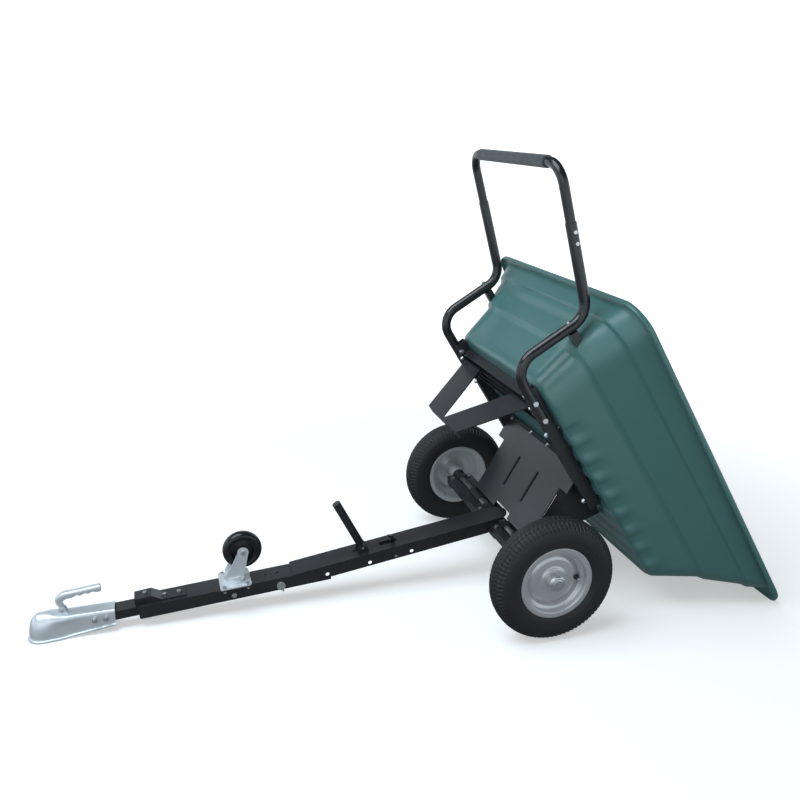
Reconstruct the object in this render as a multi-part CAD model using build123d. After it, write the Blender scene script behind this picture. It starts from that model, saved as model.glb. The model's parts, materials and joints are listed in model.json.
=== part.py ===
from build123d import *
from math import asin, atan2, cos, degrees, hypot, radians, sin, sqrt, tan
import os

# Tow behind tipping cart, millimetres. Everything is first laid out from the middle of the axle:
# +X points to the dumping end, the drawbar runs towards -X, +Z is up and Y runs across the cart.
# The whole cart is shifted at the end so that its origin is the bottom centre of its box.

# ---- driving dimensions -------------------------------------------------------------------------
TRACK = 880.0            # between the middles of the two tyres
TYRE_R = 203.0
TYRE_W = 100.0
CARCASS = 9.0            # thickness of the tyre
BEAD_R = 101.6           # where the tyre sits on the rim
FLANGE_R = 118.0
RIM_HALF = 37.0          # half the width between the rim flanges
RIM_WALL = 3.0
WELL_R = 84.0
HUB_R = 27.0
BEARING_R = 23.5
BEARING_W = 14.0
HUB_INNER = -44.0        # ends of the hub tube, from the middle of the tyre
HUB_OUTER = 40.0
CAP_RISE = 10.0
VALVE_R = 78.0
VALVE_TURN = -2.0        # degrees round the rim
VALVE_STEM_R = 4.0
JOURNAL_R = 10.0         # ends of the axle, inside the wheel bearings
SHAFT_R = 12.5           # the axle between the wheels
RUN_FIT = 0.05           # radial room in a running fit
GAP = 0.4                # room between faces that move past each other

BAR_SIZE = 30.0          # square bars of the axle beam
BAR_X = 33.0             # from the axle to the middle of each bar
BAR_TOP = 3.0
BAR_END = 392.0
BAR_WALL = 2.5
STRAP_Y = (77.0, 365.0)  # where straps and bolts tie the bars together
STRAP_T = 5.0

CHANNEL_SLOPE = 8.25     # rear half of the drawbar, degrees below level going forward
CHANNEL_W = 93.0
CHANNEL_H = 45.0
CHANNEL_WALL = 4.0
CHANNEL_TOP = 20.5       # above the axle, square to the drawbar
CHANNEL_FRONT = -750.0
TONGUE_END = 36.0
SIDE_HOLE_R = 7.0
SIDE_HOLES = (-638.0, -488.0, -338.0)
SIDE_HOLE_UP = 12.0      # above the channel's lower edge

FRONT_SLOPE = 4.0        # front half, hanging in the play of the rear half
FRONT_H = 43.0
FRONT_REAR = 125.0       # along the front bar from the mouth of the rear channel
FRONT_END = -503.0
END_CHAMFER = 5.0
TOP_HOLES = (-88.0, -48.0)
TOP_HOLE_R = 4.5
SIDE_BOLT_AT = -200.0
SIDE_BOLT_DROP = 25.0
PIN_AT = -45.0
PIN_DROP = 27.0
PIN_R = 6.0
BRACKET_BOLTS = (-372.0, -418.0, -478.0)
BRACKET_T = 4.0
BRACKET_RISE = 24.0
BRACKET_HALF = 27.0
BRACKET_REAR = -350.0
TONGUE_TUBE_REAR = -440.0   # flat tube between the front bar and the coupler
TONGUE_TUBE_IN = 85.0       # how far it runs inside the coupler
TONGUE_TUBE_TOP = -4.5
TONGUE_TUBE_H = 30.0
TONGUE_TUBE_HALF = 29.0
TONGUE_TUBE_WALL = 3.0
CASTER_AT = -190.0
CASTER_R = 64.0
CASTER_W = 37.0
CASTER_RISE = 112.0      # wheel axle above the drawbar
CASTER_LEAD = 38.0
LEG_R = 18.0             # rounded end of the fork's legs
PLATE_L = 102.0
PLATE_W = 114.0
PLATE_T = 4.0
BASE_T = 5.0             # welded plate under the caster's own plate
RACE_R = 33.0
RACE_H = 6.5
KING_R = 7.0
PLATE_BOLT_L = 76.0
PLATE_BOLT_W = 98.0

COUPLER_REAR = -1318.0
BALL_X = -1540.0
BALL_R = 25.0            # tow ball that the socket takes
COUPLER_HALF = 31.0
COUPLER_T = 3.5
COUPLER_TOP = -128.0
COUPLER_RISE = 20.0      # its lower edge climbs this much from the head to the rear end
LEVER_X = 66.0           # latch handle pin, behind the ball
LEVER_Z = -116.0
HEAD_R = 40.0
DOME_R = 32.0
COUPLER_BOLTS = (-1346.0, -1380.0)
COUPLER_BOLT_Z = -152.0
RAMP_AT = BALL_X + 60    # where the lower edge starts to climb
COUPLER_LOW = -201.0

TUB_LENGTH = 1237.0      # over the rim
TUB_WIDTH = 1042.0
TUB_RIM = 610.0          # rim above the axle when the floor is level
TUB_FLOOR = 280.0
TUB_WALL = 5.0
TUB_FRONT = -642.0
LIP_DROP = 18.0
LIP_T = 6.0
LIP_CORNERS = (98.0, 62.0)   # front and rear corner radius of the rim
LEDGE_STEP = 9.0
LEDGES = (430.0, 538.0)
# Walls before the ledges are added: height, front, rear, half width at the front and at the rear.
WALLS = ((280.0, -530.0, 278.0, 352.0, 430.0), (430.0, -563.0, 392.0, 376.0, 455.0),
         (538.0, -587.0, 491.5, 437.0, 479.0), (610.0, -603.0, 554.0, 482.0, 486.0))
WALL_CORNERS = (104.0, 72.0)

RAIL_Y = 299.0
RAIL_SIZE = (30.0, 40.0)
RAIL_FRONT = -515.0
RAIL_REAR = -25.0
VPLATE_U = -452.0
VPLATE_HALF = 140.0
VPLATE_TOP = (142.0, 292.0)
VPLATE_T = 4.0
PANEL_TOP_U = -148.0
PANEL_FOOT = (-11.7, 21.0)
PANEL_LIP = 36.0         # flange that bolts up to the floor
RIB_R = 4.0
RIB_Y = 75.0
RIB_SPAN = (70.0, 175.0) # above the foot of the panel
PANEL_T = 4.0
PANEL_HALF = 283.0
PANEL_NARROW = 205.0     # below this height the panel is only as wide as its sleeves
PANEL_ARCH = 40.0        # the notch over the drawbar
SLEEVE_Y = (150.0, 232.0)
SLEEVE_R = 16.5
MEMBERS = ((-476.0, -436.0), (-410.0, -378.0))
MEMBER_H = 34.0
RAIL_BOLTS = (-455.0, -345.0, -60.0)
FLANGE_BOLTS = (-230.0, -65.0, 65.0, 230.0)

HANDLE_Y = 333.0
TUBE_R = 17.0
TUBE_WALL = 2.0
HANDLE_BEND = 70.0
HANDLE_LOW = 246.0
HANDLE_END = -403.0
HANDLE_BOLTS = (-421.0, -488.0)
STANDOFF_V = 453.0
STANDOFF_HALF = 13.0
BOLT_HALF = 7.5          # half width over an 8 mm bolt's nut
CLAMP_SCREWS = (26.0, 60.0)  # back from the mouth of the lower tube
UPPER_BEND = 62.0
SLIDE_FIT = 0.08
HANDLE_FRONT = -623.0
HANDLE_KNEE = 517.0
HANDLE_RISE = 16.2       # degrees
SLEEVE_END_U = -896.0
GRIP_U = -1060.0
INSERT = 160.0
GRIP_R = 19.0
GRIP_HALF = 262.0

LATCH_X = -500.0         # pedal pivot along the rear channel
LATCH_Z = 34.0
HOOK_X = -396.0
HOOK_Z = -13.0
HOOK_ARM = 22.0
PEDAL_ARM = 38.0
PEDAL_LEAN = 18.4
PEDAL_LEN = 190.0
LATCH_TRAVEL = 20.0      # degrees of the pedal
HOOK_TRAVEL = 36.0       # degrees the hook turns meanwhile
CATCH_LIFT = 0.8         # room between the lowered front plate and the drawbar
CATCH_DEPTH = 28.0
LATCH_PIN_R = 4.0
LINK_PIN_R = 3.5
HOOK_PIN_R = 3.0
LINK_PLAY = 1.7          # room round the hook's pin in the far eye of the link
LINK_EYE_WALL = 1.8
STEM_R = 14.0            # pedal

# ---- shared frames ------------------------------------------------------------------------------
RIM_REAR = TUB_FRONT + TUB_LENGTH
LIP_LOW = TUB_RIM - LIP_DROP
REACH = hypot(RIM_REAR, LIP_LOW)
TIP = degrees(atan2(LIP_LOW, RIM_REAR) + asin(TYRE_R / REACH))   # rear lip rests on the ground


def frame_at(x, z, slope):
    """A frame turned about Y so that its X rises rearward by slope degrees."""
    a = radians(slope)
    return Plane(origin=(x, 0, z), x_dir=(cos(a), 0, sin(a)), z_dir=(-sin(a), 0, cos(a))).location


REAR = frame_at(0, 0, CHANNEL_SLOPE)
MOUTH = (REAR * Location((CHANNEL_FRONT, 0, CHANNEL_TOP - CHANNEL_WALL - GAP))).position
FRONT = frame_at(MOUTH.X, MOUTH.Z, FRONT_SLOPE)
TUB = frame_at(0, 0, -TIP)


# ---- small builders -----------------------------------------------------------------------------
def box(x0, x1, y0, y1, z0, z1):
    """A block between two corners."""
    middle = ((x0 + x1) / 2, (y0 + y1) / 2, (z0 + z1) / 2)
    return Pos(*middle) * Box(abs(x1 - x0), abs(y1 - y0), abs(z1 - z0))


def side_plate(points, y0, y1):
    """A plate with an outline in X and Z, from y0 to y1."""
    plane = Plane(origin=(0, y1, 0), x_dir=(1, 0, 0), z_dir=(0, -1, 0))
    return extrude(plane * make_face(Polyline(*points, close=True)), amount=y1 - y0)


def rod(radius, a, b):
    """A round bar between two points."""
    a, b = Vector(*a), Vector(*b)
    plane = Plane(origin=a, z_dir=b - a)
    return extrude(plane * Circle(radius), amount=(b - a).length)


def pipe(outer, inner, a, b):
    """A round tube between two points."""
    a, b = Vector(*a), Vector(*b)
    plane = Plane(origin=a, z_dir=b - a)
    return extrude(plane * (Circle(outer) - Circle(inner)), amount=(b - a).length)


def lathe(points):
    """A solid turned about the Y axis; each point is a radius and a place along Y."""
    return revolve(Plane.XY * make_face(Polyline(*points, close=True)), Axis.Y)


def bolt(size, grip, place, head=1.6, nut=True):
    """A hexagon bolt whose head sits on the place and whose shank runs down through grip."""
    radius = size / 2
    body = extrude(RegularPolygon(size * head / 2 + 1, 6), amount=size * 0.62)
    body += Pos(0, 0, -grip) * extrude(Circle(radius), amount=grip)
    if nut:
        body += Pos(0, 0, -grip - size * 0.8) * extrude(RegularPolygon(size * head / 2 + 1, 6), size * 0.8)
        body += Pos(0, 0, -grip - size * 1.1) * extrude(Circle(radius), size * 1.1)
    return place * body


def bore(size, grip, place):
    """The clearance hole for such a bolt."""
    return place * (Pos(0, 0, -grip - 3) * extrude(Circle(size / 2 + 0.3), amount=grip + 6))


def mirrored(shape):
    return shape.mirror(Plane.XZ)


def both(shape):
    return [shape, mirrored(shape)]


def group(shapes):
    """Separate identical pieces kept together as one node."""
    solids = []
    for shape in shapes:
        solids.extend(shape.solids())
    return Compound(children=solids)


# ---- wheels -------------------------------------------------------------------------------------
def tyre_profile(grow):
    """Outline of half the tyre, from bead to crown; grow takes the carcass thickness off."""
    side = RIM_HALF - GAP - grow
    bulge = TYRE_W / 2 - grow
    crown = TYRE_R - grow
    start = (FLANGE_R + 1, side)
    drop, width = 20.0, bulge - 6
    shoulder = (crown - drop, width)
    wall = ThreePointArc(start, ((start[0] + shoulder[0]) / 2, bulge), shoulder)
    radius = (drop * drop + width * width) / (2 * drop)
    half = asin(width / radius) / 2
    tread = ThreePointArc(shoulder, (crown - radius + radius * cos(half), radius * sin(half)), (crown, 0))
    return start, [wall, tread]


def tyre():
    """Hollow carcass, open towards the rim, turned in one piece."""
    start, outer = tyre_profile(0)
    inner_start, inner = tyre_profile(CARCASS)
    bead = BEAD_R + 0.2
    foot = Polyline(start, (bead, start[1]), (bead, inner_start[1]), inner_start)
    half = Curve() + outer + inner + [foot]
    whole = half.edges() + mirror(half, about=Plane.XZ).edges()
    return revolve(make_face(whole), Axis.Y).fix()


def rim():
    """Pressed rim: flanges, bead seats, drop centre, dished disc and the hub tube."""
    t = RIM_WALL
    seat = BEAD_R
    edge = RIM_HALF + t
    barrel = [
        (FLANGE_R, RIM_HALF), (seat, RIM_HALF), (seat, 22), (WELL_R + t, 15), (WELL_R + t, -15),
        (seat, -22), (seat, -RIM_HALF), (FLANGE_R, -RIM_HALF), (FLANGE_R, -edge), (seat - t, -edge),
        (seat - t, -24), (WELL_R, -17), (WELL_R, 17), (seat - t, 24), (seat - t, edge), (FLANGE_R, edge),
    ]
    disc = [
        (WELL_R, 4), (70, 6), (64, 13), (40, 17), (HUB_R, 17), (HUB_R, 21), (42, 21), (67, 17),
        (73, 10), (WELL_R, 8),
    ]
    hub = [(HUB_R, HUB_INNER), (HUB_R, HUB_OUTER), (BEARING_R, HUB_OUTER), (BEARING_R, HUB_INNER)]
    w0, w1, r = HUB_INNER + BEARING_W, HUB_OUTER - 18, BEARING_R - 3.5
    stop = [(BEARING_R, w0), (BEARING_R, w1), (r, w1), (r, w0)]
    return lathe(barrel) + lathe(disc) + lathe(hub) + lathe(stop)


def bearing(w):
    """One wheel bearing, its inner face at w."""
    rings = [(JOURNAL_R + RUN_FIT, w), (BEARING_R, w), (BEARING_R, w + BEARING_W),
             (JOURNAL_R + RUN_FIT, w + BEARING_W)]
    return lathe(rings)


def hub_cap():
    wall = 2.6
    w, top = HUB_OUTER, HUB_OUTER + CAP_RISE
    outline = [(HUB_R, w), (HUB_R, w + 3), (24, w + 7), (17, top), (0, top), (0, top - wall),
               (16, top - wall), (21, w + 5), (BEARING_R, w + 2), (BEARING_R, w)]
    return lathe(outline)


def valve_place():
    """Where the valve comes through the disc of the rim."""
    return Rot(0, -VALVE_TURN, 0) * Pos(VALVE_R, 0, 0)


def valve():
    stem = rod(VALVE_STEM_R, (0, 3, 0), (0, 36, 0)) + rod(5.2, (0, 27, 0), (0, 35, 0))
    return valve_place() * stem


def wheel(side):
    """All pieces of one wheel, placed on its end of the axle."""
    parts = {
        "tyre": tyre(),
        "rim": rim() - valve_place() * rod(VALVE_STEM_R + 0.1, (0, 0, 0), (0, 14, 0)),
        "bearings": group([bearing(HUB_INNER), bearing(HUB_OUTER - 18)]),
        "hub_cap": hub_cap(),
        "valve": valve(),
    }
    out = {}
    for name, shape in parts.items():
        solids = [Pos(0, TRACK / 2, 0) * solid for solid in shape.solids()]
        if side == "left":
            solids = [mirrored(solid) for solid in solids]
        out[side + "_" + name] = group(solids) if len(solids) > 1 else solids[0]
    return out


# ---- axle and rear half of the drawbar ----------------------------------------------------------
def axle_places():
    """Where the axle beam is bolted: a frame on top of each bar."""
    return [Pos(sx * BAR_X, sy * y, BAR_TOP) for y in STRAP_Y for sx in (-1, 1) for sy in (-1, 1)]


def axle_shaft():
    shoulder = TRACK / 2 + HUB_INNER - 0.5
    end = TRACK / 2 + HUB_OUTER - 2
    body = rod(SHAFT_R, (0, -shoulder, 0), (0, shoulder, 0))
    return body + rod(JOURNAL_R, (0, -end, 0), (0, end, 0))


def axle_nuts():
    w0 = HUB_OUTER - 18 + BEARING_W + 0.3
    outline = [(JOURNAL_R, w0), (15, w0), (15, w0 + 7.7), (JOURNAL_R, w0 + 7.7)]
    nut = Pos(0, TRACK / 2, 0) * lathe(outline)
    return group(both(nut))


def axle_bars(sign):
    half = BAR_SIZE / 2
    start = CHANNEL_W / 2 + 1.0
    shapes = []
    for x in (-BAR_X, BAR_X):
        outer = box(x - half, x + half, start, BAR_END, BAR_TOP - BAR_SIZE, BAR_TOP)
        w = BAR_WALL
        inner = box(x - half + w, x + half - w, start - 1, BAR_END + 1, BAR_TOP - BAR_SIZE + w, BAR_TOP - w)
        bar = outer - inner
        for place in axle_places():
            bar -= bore(8, BAR_SIZE, place)
        shapes.append(bar if sign > 0 else mirrored(bar))
    return group(shapes)


def axle_straps():
    """Flat straps under the bars: a long one below the drawbar and one near each wheel."""
    low = BAR_TOP - BAR_SIZE
    x = BAR_X + BAR_SIZE / 2
    shapes = [box(-x, x, -STRAP_Y[0] - 20, STRAP_Y[0] + 20, low - STRAP_T, low)]
    for sign in (-1, 1):
        y = sign * STRAP_Y[1]
        shapes.append(box(-x, x, y - 18, y + 18, low - STRAP_T, low))
    for i in range(3):
        for place in axle_places():
            shapes[i] -= bore(8, BAR_SIZE + STRAP_T, place)
    return group(shapes)


def axle_blocks():
    """Blocks between the bars that hold the shaft down on the straps."""
    low = BAR_TOP - BAR_SIZE
    half = BAR_X - BAR_SIZE / 2
    shapes = []
    for y in STRAP_Y:
        block = box(-half, half, y - 14, y + 14, low, SHAFT_R + 2.5)
        shapes += both(block - rod(SHAFT_R, (0, y - 20, 0), (0, y + 20, 0)))
    return group(shapes)


def axle_bolts():
    return group([bolt(8, BAR_SIZE + STRAP_T, place) for place in axle_places()])


def rear_channel():
    """Inverted channel with a rounded tongue over the axle."""
    half = CHANNEL_W / 2
    top, low = CHANNEL_TOP, CHANNEL_TOP - CHANNEL_H
    inner = half - CHANNEL_WALL
    body = box(CHANNEL_FRONT, TONGUE_END, -half, half, low, top)
    body -= box(CHANNEL_FRONT - 1, TONGUE_END + 1, -inner, inner, low - 1, top - CHANNEL_WALL)
    corner = box(TONGUE_END - half, TONGUE_END + 1, -half - 1, half + 1, low - 1, top + 1)
    corner -= Pos(TONGUE_END - half, 0, 0) * Cylinder(half, 200)
    body -= corner
    for x in SIDE_HOLES:
        body -= rod(SIDE_HOLE_R, (x, -half - 1, low + SIDE_HOLE_UP), (x, half + 1, low + SIDE_HOLE_UP))
    body -= box(LATCH_X - 34, LATCH_X + 12, -5, 5, 0, top + 1)
    body -= box(HOOK_X - 42, HOOK_X + 20, -11, 11, 0, top + 1)
    body -= rod(LATCH_PIN_R, (HOOK_X, -half - 1, HOOK_Z), (HOOK_X, half + 1, HOOK_Z))
    body = REAR * body
    seat = BAR_TOP - BAR_SIZE
    strap = BAR_X + BAR_SIZE / 2 + 2
    body -= box(-strap, 120, -half - 1, half + 1, seat - 60, seat)
    body -= rod(SHAFT_R, (0, -half - 1, 0), (0, half + 1, 0))
    return body


def latch_ears():
    """Two ears welded on the channel that carry the pedal pin."""
    top = CHANNEL_TOP
    outline = [(LATCH_X - 20, top), (LATCH_X + 20, top), (LATCH_X + 12, LATCH_Z + 9),
               (LATCH_X - 12, LATCH_Z + 9)]
    ear = side_plate(outline, 15, 20)
    ear -= rod(LATCH_PIN_R, (LATCH_X, 14, LATCH_Z), (LATCH_X, 21, LATCH_Z))
    return group([REAR * shape for shape in both(ear)])


def latch_pins():
    half = CHANNEL_W / 2 + 3
    pedal_pin = rod(LATCH_PIN_R, (LATCH_X, -23, LATCH_Z), (LATCH_X, 23, LATCH_Z))
    hook_pin = rod(LATCH_PIN_R, (HOOK_X, -half, HOOK_Z), (HOOK_X, half, HOOK_Z))
    return group([REAR * pedal_pin, REAR * hook_pin])


def latch_pedal():
    """Foot lever: a round stem with a flattened foot that goes down through the slot."""
    lean = radians(PEDAL_LEAN)
    tip = (LATCH_X - PEDAL_LEN * sin(lean), 0, LATCH_Z + PEDAL_LEN * cos(lean))
    start = (LATCH_X - 16 * sin(lean), 0, LATCH_Z + 16 * cos(lean))
    stem = rod(STEM_R, start, tip)
    eye = rod(12, (LATCH_X, -14, LATCH_Z), (LATCH_X, 14, LATCH_Z))
    neck = rod(11, (LATCH_X, 0, LATCH_Z), start)
    low = LATCH_Z - PEDAL_ARM
    arm = side_plate([(LATCH_X - 9, LATCH_Z), (LATCH_X + 9, LATCH_Z), (LATCH_X + 7, low - 6),
                      (LATCH_X - 7, low - 6)], -3.5, 3.5)
    pin = rod(LINK_PIN_R, (LATCH_X, -12, low), (LATCH_X, 12, low))
    body = stem + eye + neck + arm + pin
    body -= rod(LATCH_PIN_R + RUN_FIT, (LATCH_X, -30, LATCH_Z), (LATCH_X, 30, LATCH_Z))
    return REAR * body


def latch_link():
    """Two flat straps in one piece that push the hook back when the pedal goes down."""
    a = (LATCH_X, LATCH_Z - PEDAL_ARM)
    b = (HOOK_X, HOOK_Z + HOOK_ARM)
    turn = degrees(atan2(b[1] - a[1], b[0] - a[0]))
    length = hypot(b[0] - a[0], b[1] - a[1])
    far_eye = HOOK_PIN_R + LINK_PLAY + LINK_EYE_WALL
    body = None
    for y0, y1 in ((-11.5, -8.0), (8.0, 11.5)):
        strap = side_plate([(0, -6), (length, -6), (length, 6), (0, 6)], y0, y1)
        strap += rod(6.0, (0, y0, 0), (0, y1, 0)) + rod(far_eye, (length, y0, 0), (length, y1, 0))
        body = strap if body is None else body + strap
    body += box(length * 0.4, length * 0.6, -8.0, 8.0, -6, 6)
    body -= rod(LINK_PIN_R + RUN_FIT, (0, -20, 0), (0, 20, 0))
    body -= rod(HOOK_PIN_R + LINK_PLAY, (length, -20, 0), (length, 20, 0))
    return REAR * (Pos(a[0], 0, a[1]) * Rot(0, -turn, 0) * body)


def latch_hook():
    """Hook that comes up through the channel; worked out over the catch, then turned back clear of it."""
    edge = VPLATE_U + CATCH_DEPTH - HOOK_X
    under = CHANNEL_TOP + CATCH_LIFT + VPLATE_T - HOOK_Z + 0.7
    outline = [(-8, -6), (8, -6), (9, 2), (edge + 12, under + 3), (edge + 4, under + 11),
               (edge - 13, under + 5), (edge - 13, under), (edge + 1.5, under), (edge + 4, under - 9),
               (-9, 4)]
    plate = side_plate(outline, -5, 5)
    plate += rod(10, (0, -5, 0), (0, 5, 0))
    plate = Rot(0, HOOK_TRAVEL, 0) * plate
    plate += rod(HOOK_PIN_R, (0, -12, HOOK_ARM), (0, 12, HOOK_ARM))
    plate -= rod(LATCH_PIN_R + RUN_FIT, (0, -20, 0), (0, 20, 0))
    return REAR * (Pos(HOOK_X, 0, HOOK_Z) * plate)


def latch_spring():
    """Torsion spring round the hook pin, drawn as its close wound coil."""
    coil = pipe(8.5, LATCH_PIN_R + 0.5, (HOOK_X, 16, HOOK_Z), (HOOK_X, 34, HOOK_Z))
    return REAR * coil


# ---- front half of the drawbar ------------------------------------------------------------------
def front_width():
    return CHANNEL_W - 2 * CHANNEL_WALL - 2 * GAP


def plate_places():
    """Caster plate bolts, on the top of the plate."""
    z = BASE_T + PLATE_T
    return [Pos(CASTER_AT + sx * PLATE_BOLT_L / 2, sy * PLATE_BOLT_W / 2, z)
            for sx in (-1, 1) for sy in (-1, 1)]


def bracket_places():
    low = [Pos(x, 0, BRACKET_T) for x in BRACKET_BOLTS[:2]]
    return low + [Pos(BRACKET_BOLTS[2], 0, BRACKET_RISE)]


def front_channel():
    half = front_width() / 2
    inner = half - CHANNEL_WALL
    body = box(FRONT_END, FRONT_REAR, -half, half, -FRONT_H, 0)
    body -= box(FRONT_END - 1, FRONT_REAR + 1, -inner, inner, -FRONT_H - 1, -CHANNEL_WALL)
    cut = side_plate([(FRONT_END - 1, -FRONT_H + END_CHAMFER), (FRONT_END + END_CHAMFER, -FRONT_H - 1),
                      (FRONT_END - 1, -FRONT_H - 1)], -half - 1, half + 1)
    body -= cut
    body -= rod(PIN_R + RUN_FIT, (PIN_AT, -half - 1, -PIN_DROP), (PIN_AT, half + 1, -PIN_DROP))
    for x in TOP_HOLES:
        body -= Pos(x, 0, 0) * Cylinder(TOP_HOLE_R, 20)
    body -= rod(5.3, (SIDE_BOLT_AT, -half - 1, -SIDE_BOLT_DROP), (SIDE_BOLT_AT, half + 1, -SIDE_BOLT_DROP))
    low = CHANNEL_TOP - CHANNEL_H + SIDE_HOLE_UP
    through = rod(SIDE_HOLE_R + 2, (SIDE_HOLES[0], -half - 1, low), (SIDE_HOLES[0], half + 1, low))
    body -= FRONT.inverse() * (REAR * through)
    for place in bracket_places()[:2]:
        body -= bore(8, 12, place)
    return FRONT * body


def coupler_tube():
    """Flat tube that joins the front bar and the coupler."""
    rear = (FRONT * Location((TONGUE_TUBE_REAR, 0, 0))).position.X
    length = (rear - (COUPLER_REAR - TONGUE_TUBE_IN)) / cos(radians(FRONT_SLOPE))
    x1, top, low = TONGUE_TUBE_REAR, TONGUE_TUBE_TOP, TONGUE_TUBE_TOP - TONGUE_TUBE_H
    half, wall = TONGUE_TUBE_HALF, TONGUE_TUBE_WALL
    body = box(x1 - length, x1, -half, half, low, top)
    body -= box(x1 - length - 1, x1 + 1, -half + wall, half - wall, low + wall, top - wall)
    body -= bore(8, 40, Pos(BRACKET_BOLTS[2], 0, 0))
    body = FRONT * body
    for place in coupler_places():
        body -= bore(10, 2 * HEAD_R, place)
    return body


def clamp_bracket():
    """Formed bracket over the end of the bar, raised over the bolt and sloping down behind it."""
    end, t, rise, half = FRONT_END, BRACKET_T, BRACKET_RISE, BRACKET_HALF
    outline = [(end - 2 * t, 0), (end - 2 * t, rise - 2), (end + 46, rise), (end + 78, t), (BRACKET_REAR, t),
               (BRACKET_REAR, 0), (end + 76, 0), (end + 44, rise - t), (end - t, rise - t - 2), (end - t, 0)]
    body = side_plate(outline, -half, half)
    cheek = [(end - t, 0), (end + 76, 0), (end + 44, rise - t), (end - t, rise - t - 2)]
    for shape in both(side_plate(cheek, half - t, half)):
        body += shape
    for place in bracket_places():
        body -= bore(8, 12, place)
    return FRONT * body


def coupler_outline(inset):
    """Top outline of the coupler: straight sides into a round head."""
    half = COUPLER_HALF - inset
    head = HEAD_R - inset
    rear = COUPLER_REAR
    body = make_face(Polyline((rear, -half), (rear, half), (BALL_X, head * 0.9), (BALL_X, -head * 0.9),
                              close=True))
    return body + Pos(BALL_X, 0) * Circle(head)


def coupler_body():
    """Pressed coupler: an upside-down trough with a domed head and a flange round its edge."""
    top, low = COUPLER_TOP, COUPLER_LOW
    t = COUPLER_T
    rise = atan2(COUPLER_RISE, COUPLER_REAR - RAMP_AT)
    wedge = side_plate([(RAMP_AT, low), (COUPLER_REAR + 1, low + COUPLER_RISE),
                        (COUPLER_REAR + 1, low - 9), (RAMP_AT, low - 9)], -60, 60)
    body = Pos(0, 0, low) * extrude(coupler_outline(0), amount=top - low)
    head = Pos(BALL_X + 14, 0, top - 20)
    body += head * Sphere(DOME_R)
    body -= Pos(0, 0, low - 1) * extrude(coupler_outline(t), amount=top - low - t + 1)
    body -= head * Sphere(DOME_R - t)
    flange = coupler_outline(-7) - coupler_outline(t)
    level = Pos(0, 0, low) * extrude(flange, amount=t)
    level -= box(RAMP_AT, COUPLER_REAR + 2, -60, 60, low - 1, low + 9)
    body -= wedge
    body += level
    length = (COUPLER_REAR - RAMP_AT) / cos(rise)
    for sign in (-1, 1):
        strip = box(-2, length, sign * (COUPLER_HALF - t), sign * (COUPLER_HALF + 7), 0, t)
        body += Pos(RAMP_AT, 0, low) * Rot(0, -degrees(rise), 0) * strip
    body -= tube_cutter()
    for place in coupler_places():
        body -= bore(10, 2 * HEAD_R, place)
    return body


def tube_cutter():
    """Room for the flat tube where it enters the coupler."""
    low = TONGUE_TUBE_TOP - TONGUE_TUBE_H
    return FRONT * box(-900, -400, -TONGUE_TUBE_HALF, TONGUE_TUBE_HALF, low, TONGUE_TUBE_TOP)


def coupler_half(x):
    """Half width over the coupler's sides at x, which widen towards the head."""
    share = (COUPLER_REAR - x) / (COUPLER_REAR - BALL_X)
    return COUPLER_HALF + (HEAD_R * 0.9 - COUPLER_HALF) * share + 0.3


def coupler_places():
    """Bolts across the coupler and the flat tube in it."""
    return [Pos(x, coupler_half(x), COUPLER_BOLT_Z) * Rot(-90, 0, 0) for x in COUPLER_BOLTS]


def coupler_lever():
    """Cast latch handle: a foot on the pin, a neck and a long arm ending in a rounded grip."""
    px, pz = BALL_X + LEVER_X, LEVER_Z
    path = FilletPolyline((px, 0, pz), (px - 12, 0, pz + 34), (px + 14, 0, pz + 50),
                          (px + 112, 0, pz + 58), radius=10)
    section = Plane(origin=path @ 0, z_dir=path % 0) * Rectangle(15, 15)
    arm = sweep(section, path=path)
    arm += rod(11, (px + 104, 0, pz + 57), (px + 118, 0, pz + 52))
    arm += rod(10, (px, -7.5, pz), (px, 7.5, pz))
    arm -= rod(4 + RUN_FIT, (px, -20, pz), (px, 20, pz))
    return arm


def lever_ears():
    px, pz = BALL_X + LEVER_X, LEVER_Z
    low = COUPLER_TOP
    ear = side_plate([(px - 16, low), (px + 16, low), (px + 9, pz + 8), (px - 9, pz + 8)], 8.5, 12)
    ear -= rod(4, (px, 8, pz), (px, 13, pz))
    return both(ear)


def coupler_jaw():
    """Clamp piece behind the ball inside the head."""
    x = BALL_X + BALL_R + 5
    block = box(x, x + 16, -14, 14, -180, -146)
    block -= Pos(BALL_X, 0, -166) * Sphere(BALL_R + 3)
    return block


def drawbar_bolts():
    """Every bolt and pin fixed in the front half of the drawbar."""
    half = front_width() / 2
    shapes = [FRONT * bolt(8, BASE_T + PLATE_T, place) for place in plate_places()]
    shapes += [FRONT * bolt(8, BRACKET_T + CHANNEL_WALL, place) for place in bracket_places()[:2]]
    shapes.append(FRONT * bolt(8, 4.2, bracket_places()[2], nut=False))
    side = Pos(SIDE_BOLT_AT, -half, -SIDE_BOLT_DROP) * Rot(90, 0, 0)
    shapes.append(FRONT * bolt(10, front_width(), side))
    shapes += [bolt(10, 2 * coupler_half(place.position.X), place) for place in coupler_places()]
    px, pz = BALL_X + LEVER_X, LEVER_Z
    shapes.append(rod(4, (px, -15, pz), (px, 15, pz)))
    return group(shapes)


def drawbar_pin():
    """Stop pin with a flat grey head and a pull tab."""
    half = front_width() / 2
    body = rod(PIN_R, (PIN_AT, -half - 1.0, -PIN_DROP), (PIN_AT, half + 14, -PIN_DROP))
    body += rod(14, (PIN_AT, -half - 8, -PIN_DROP), (PIN_AT, -half - 1.0, -PIN_DROP))
    body += box(PIN_AT + 2, PIN_AT + 8, -half - 8, -half - 4, -PIN_DROP - 20, -PIN_DROP - 8)
    return FRONT * body


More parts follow.
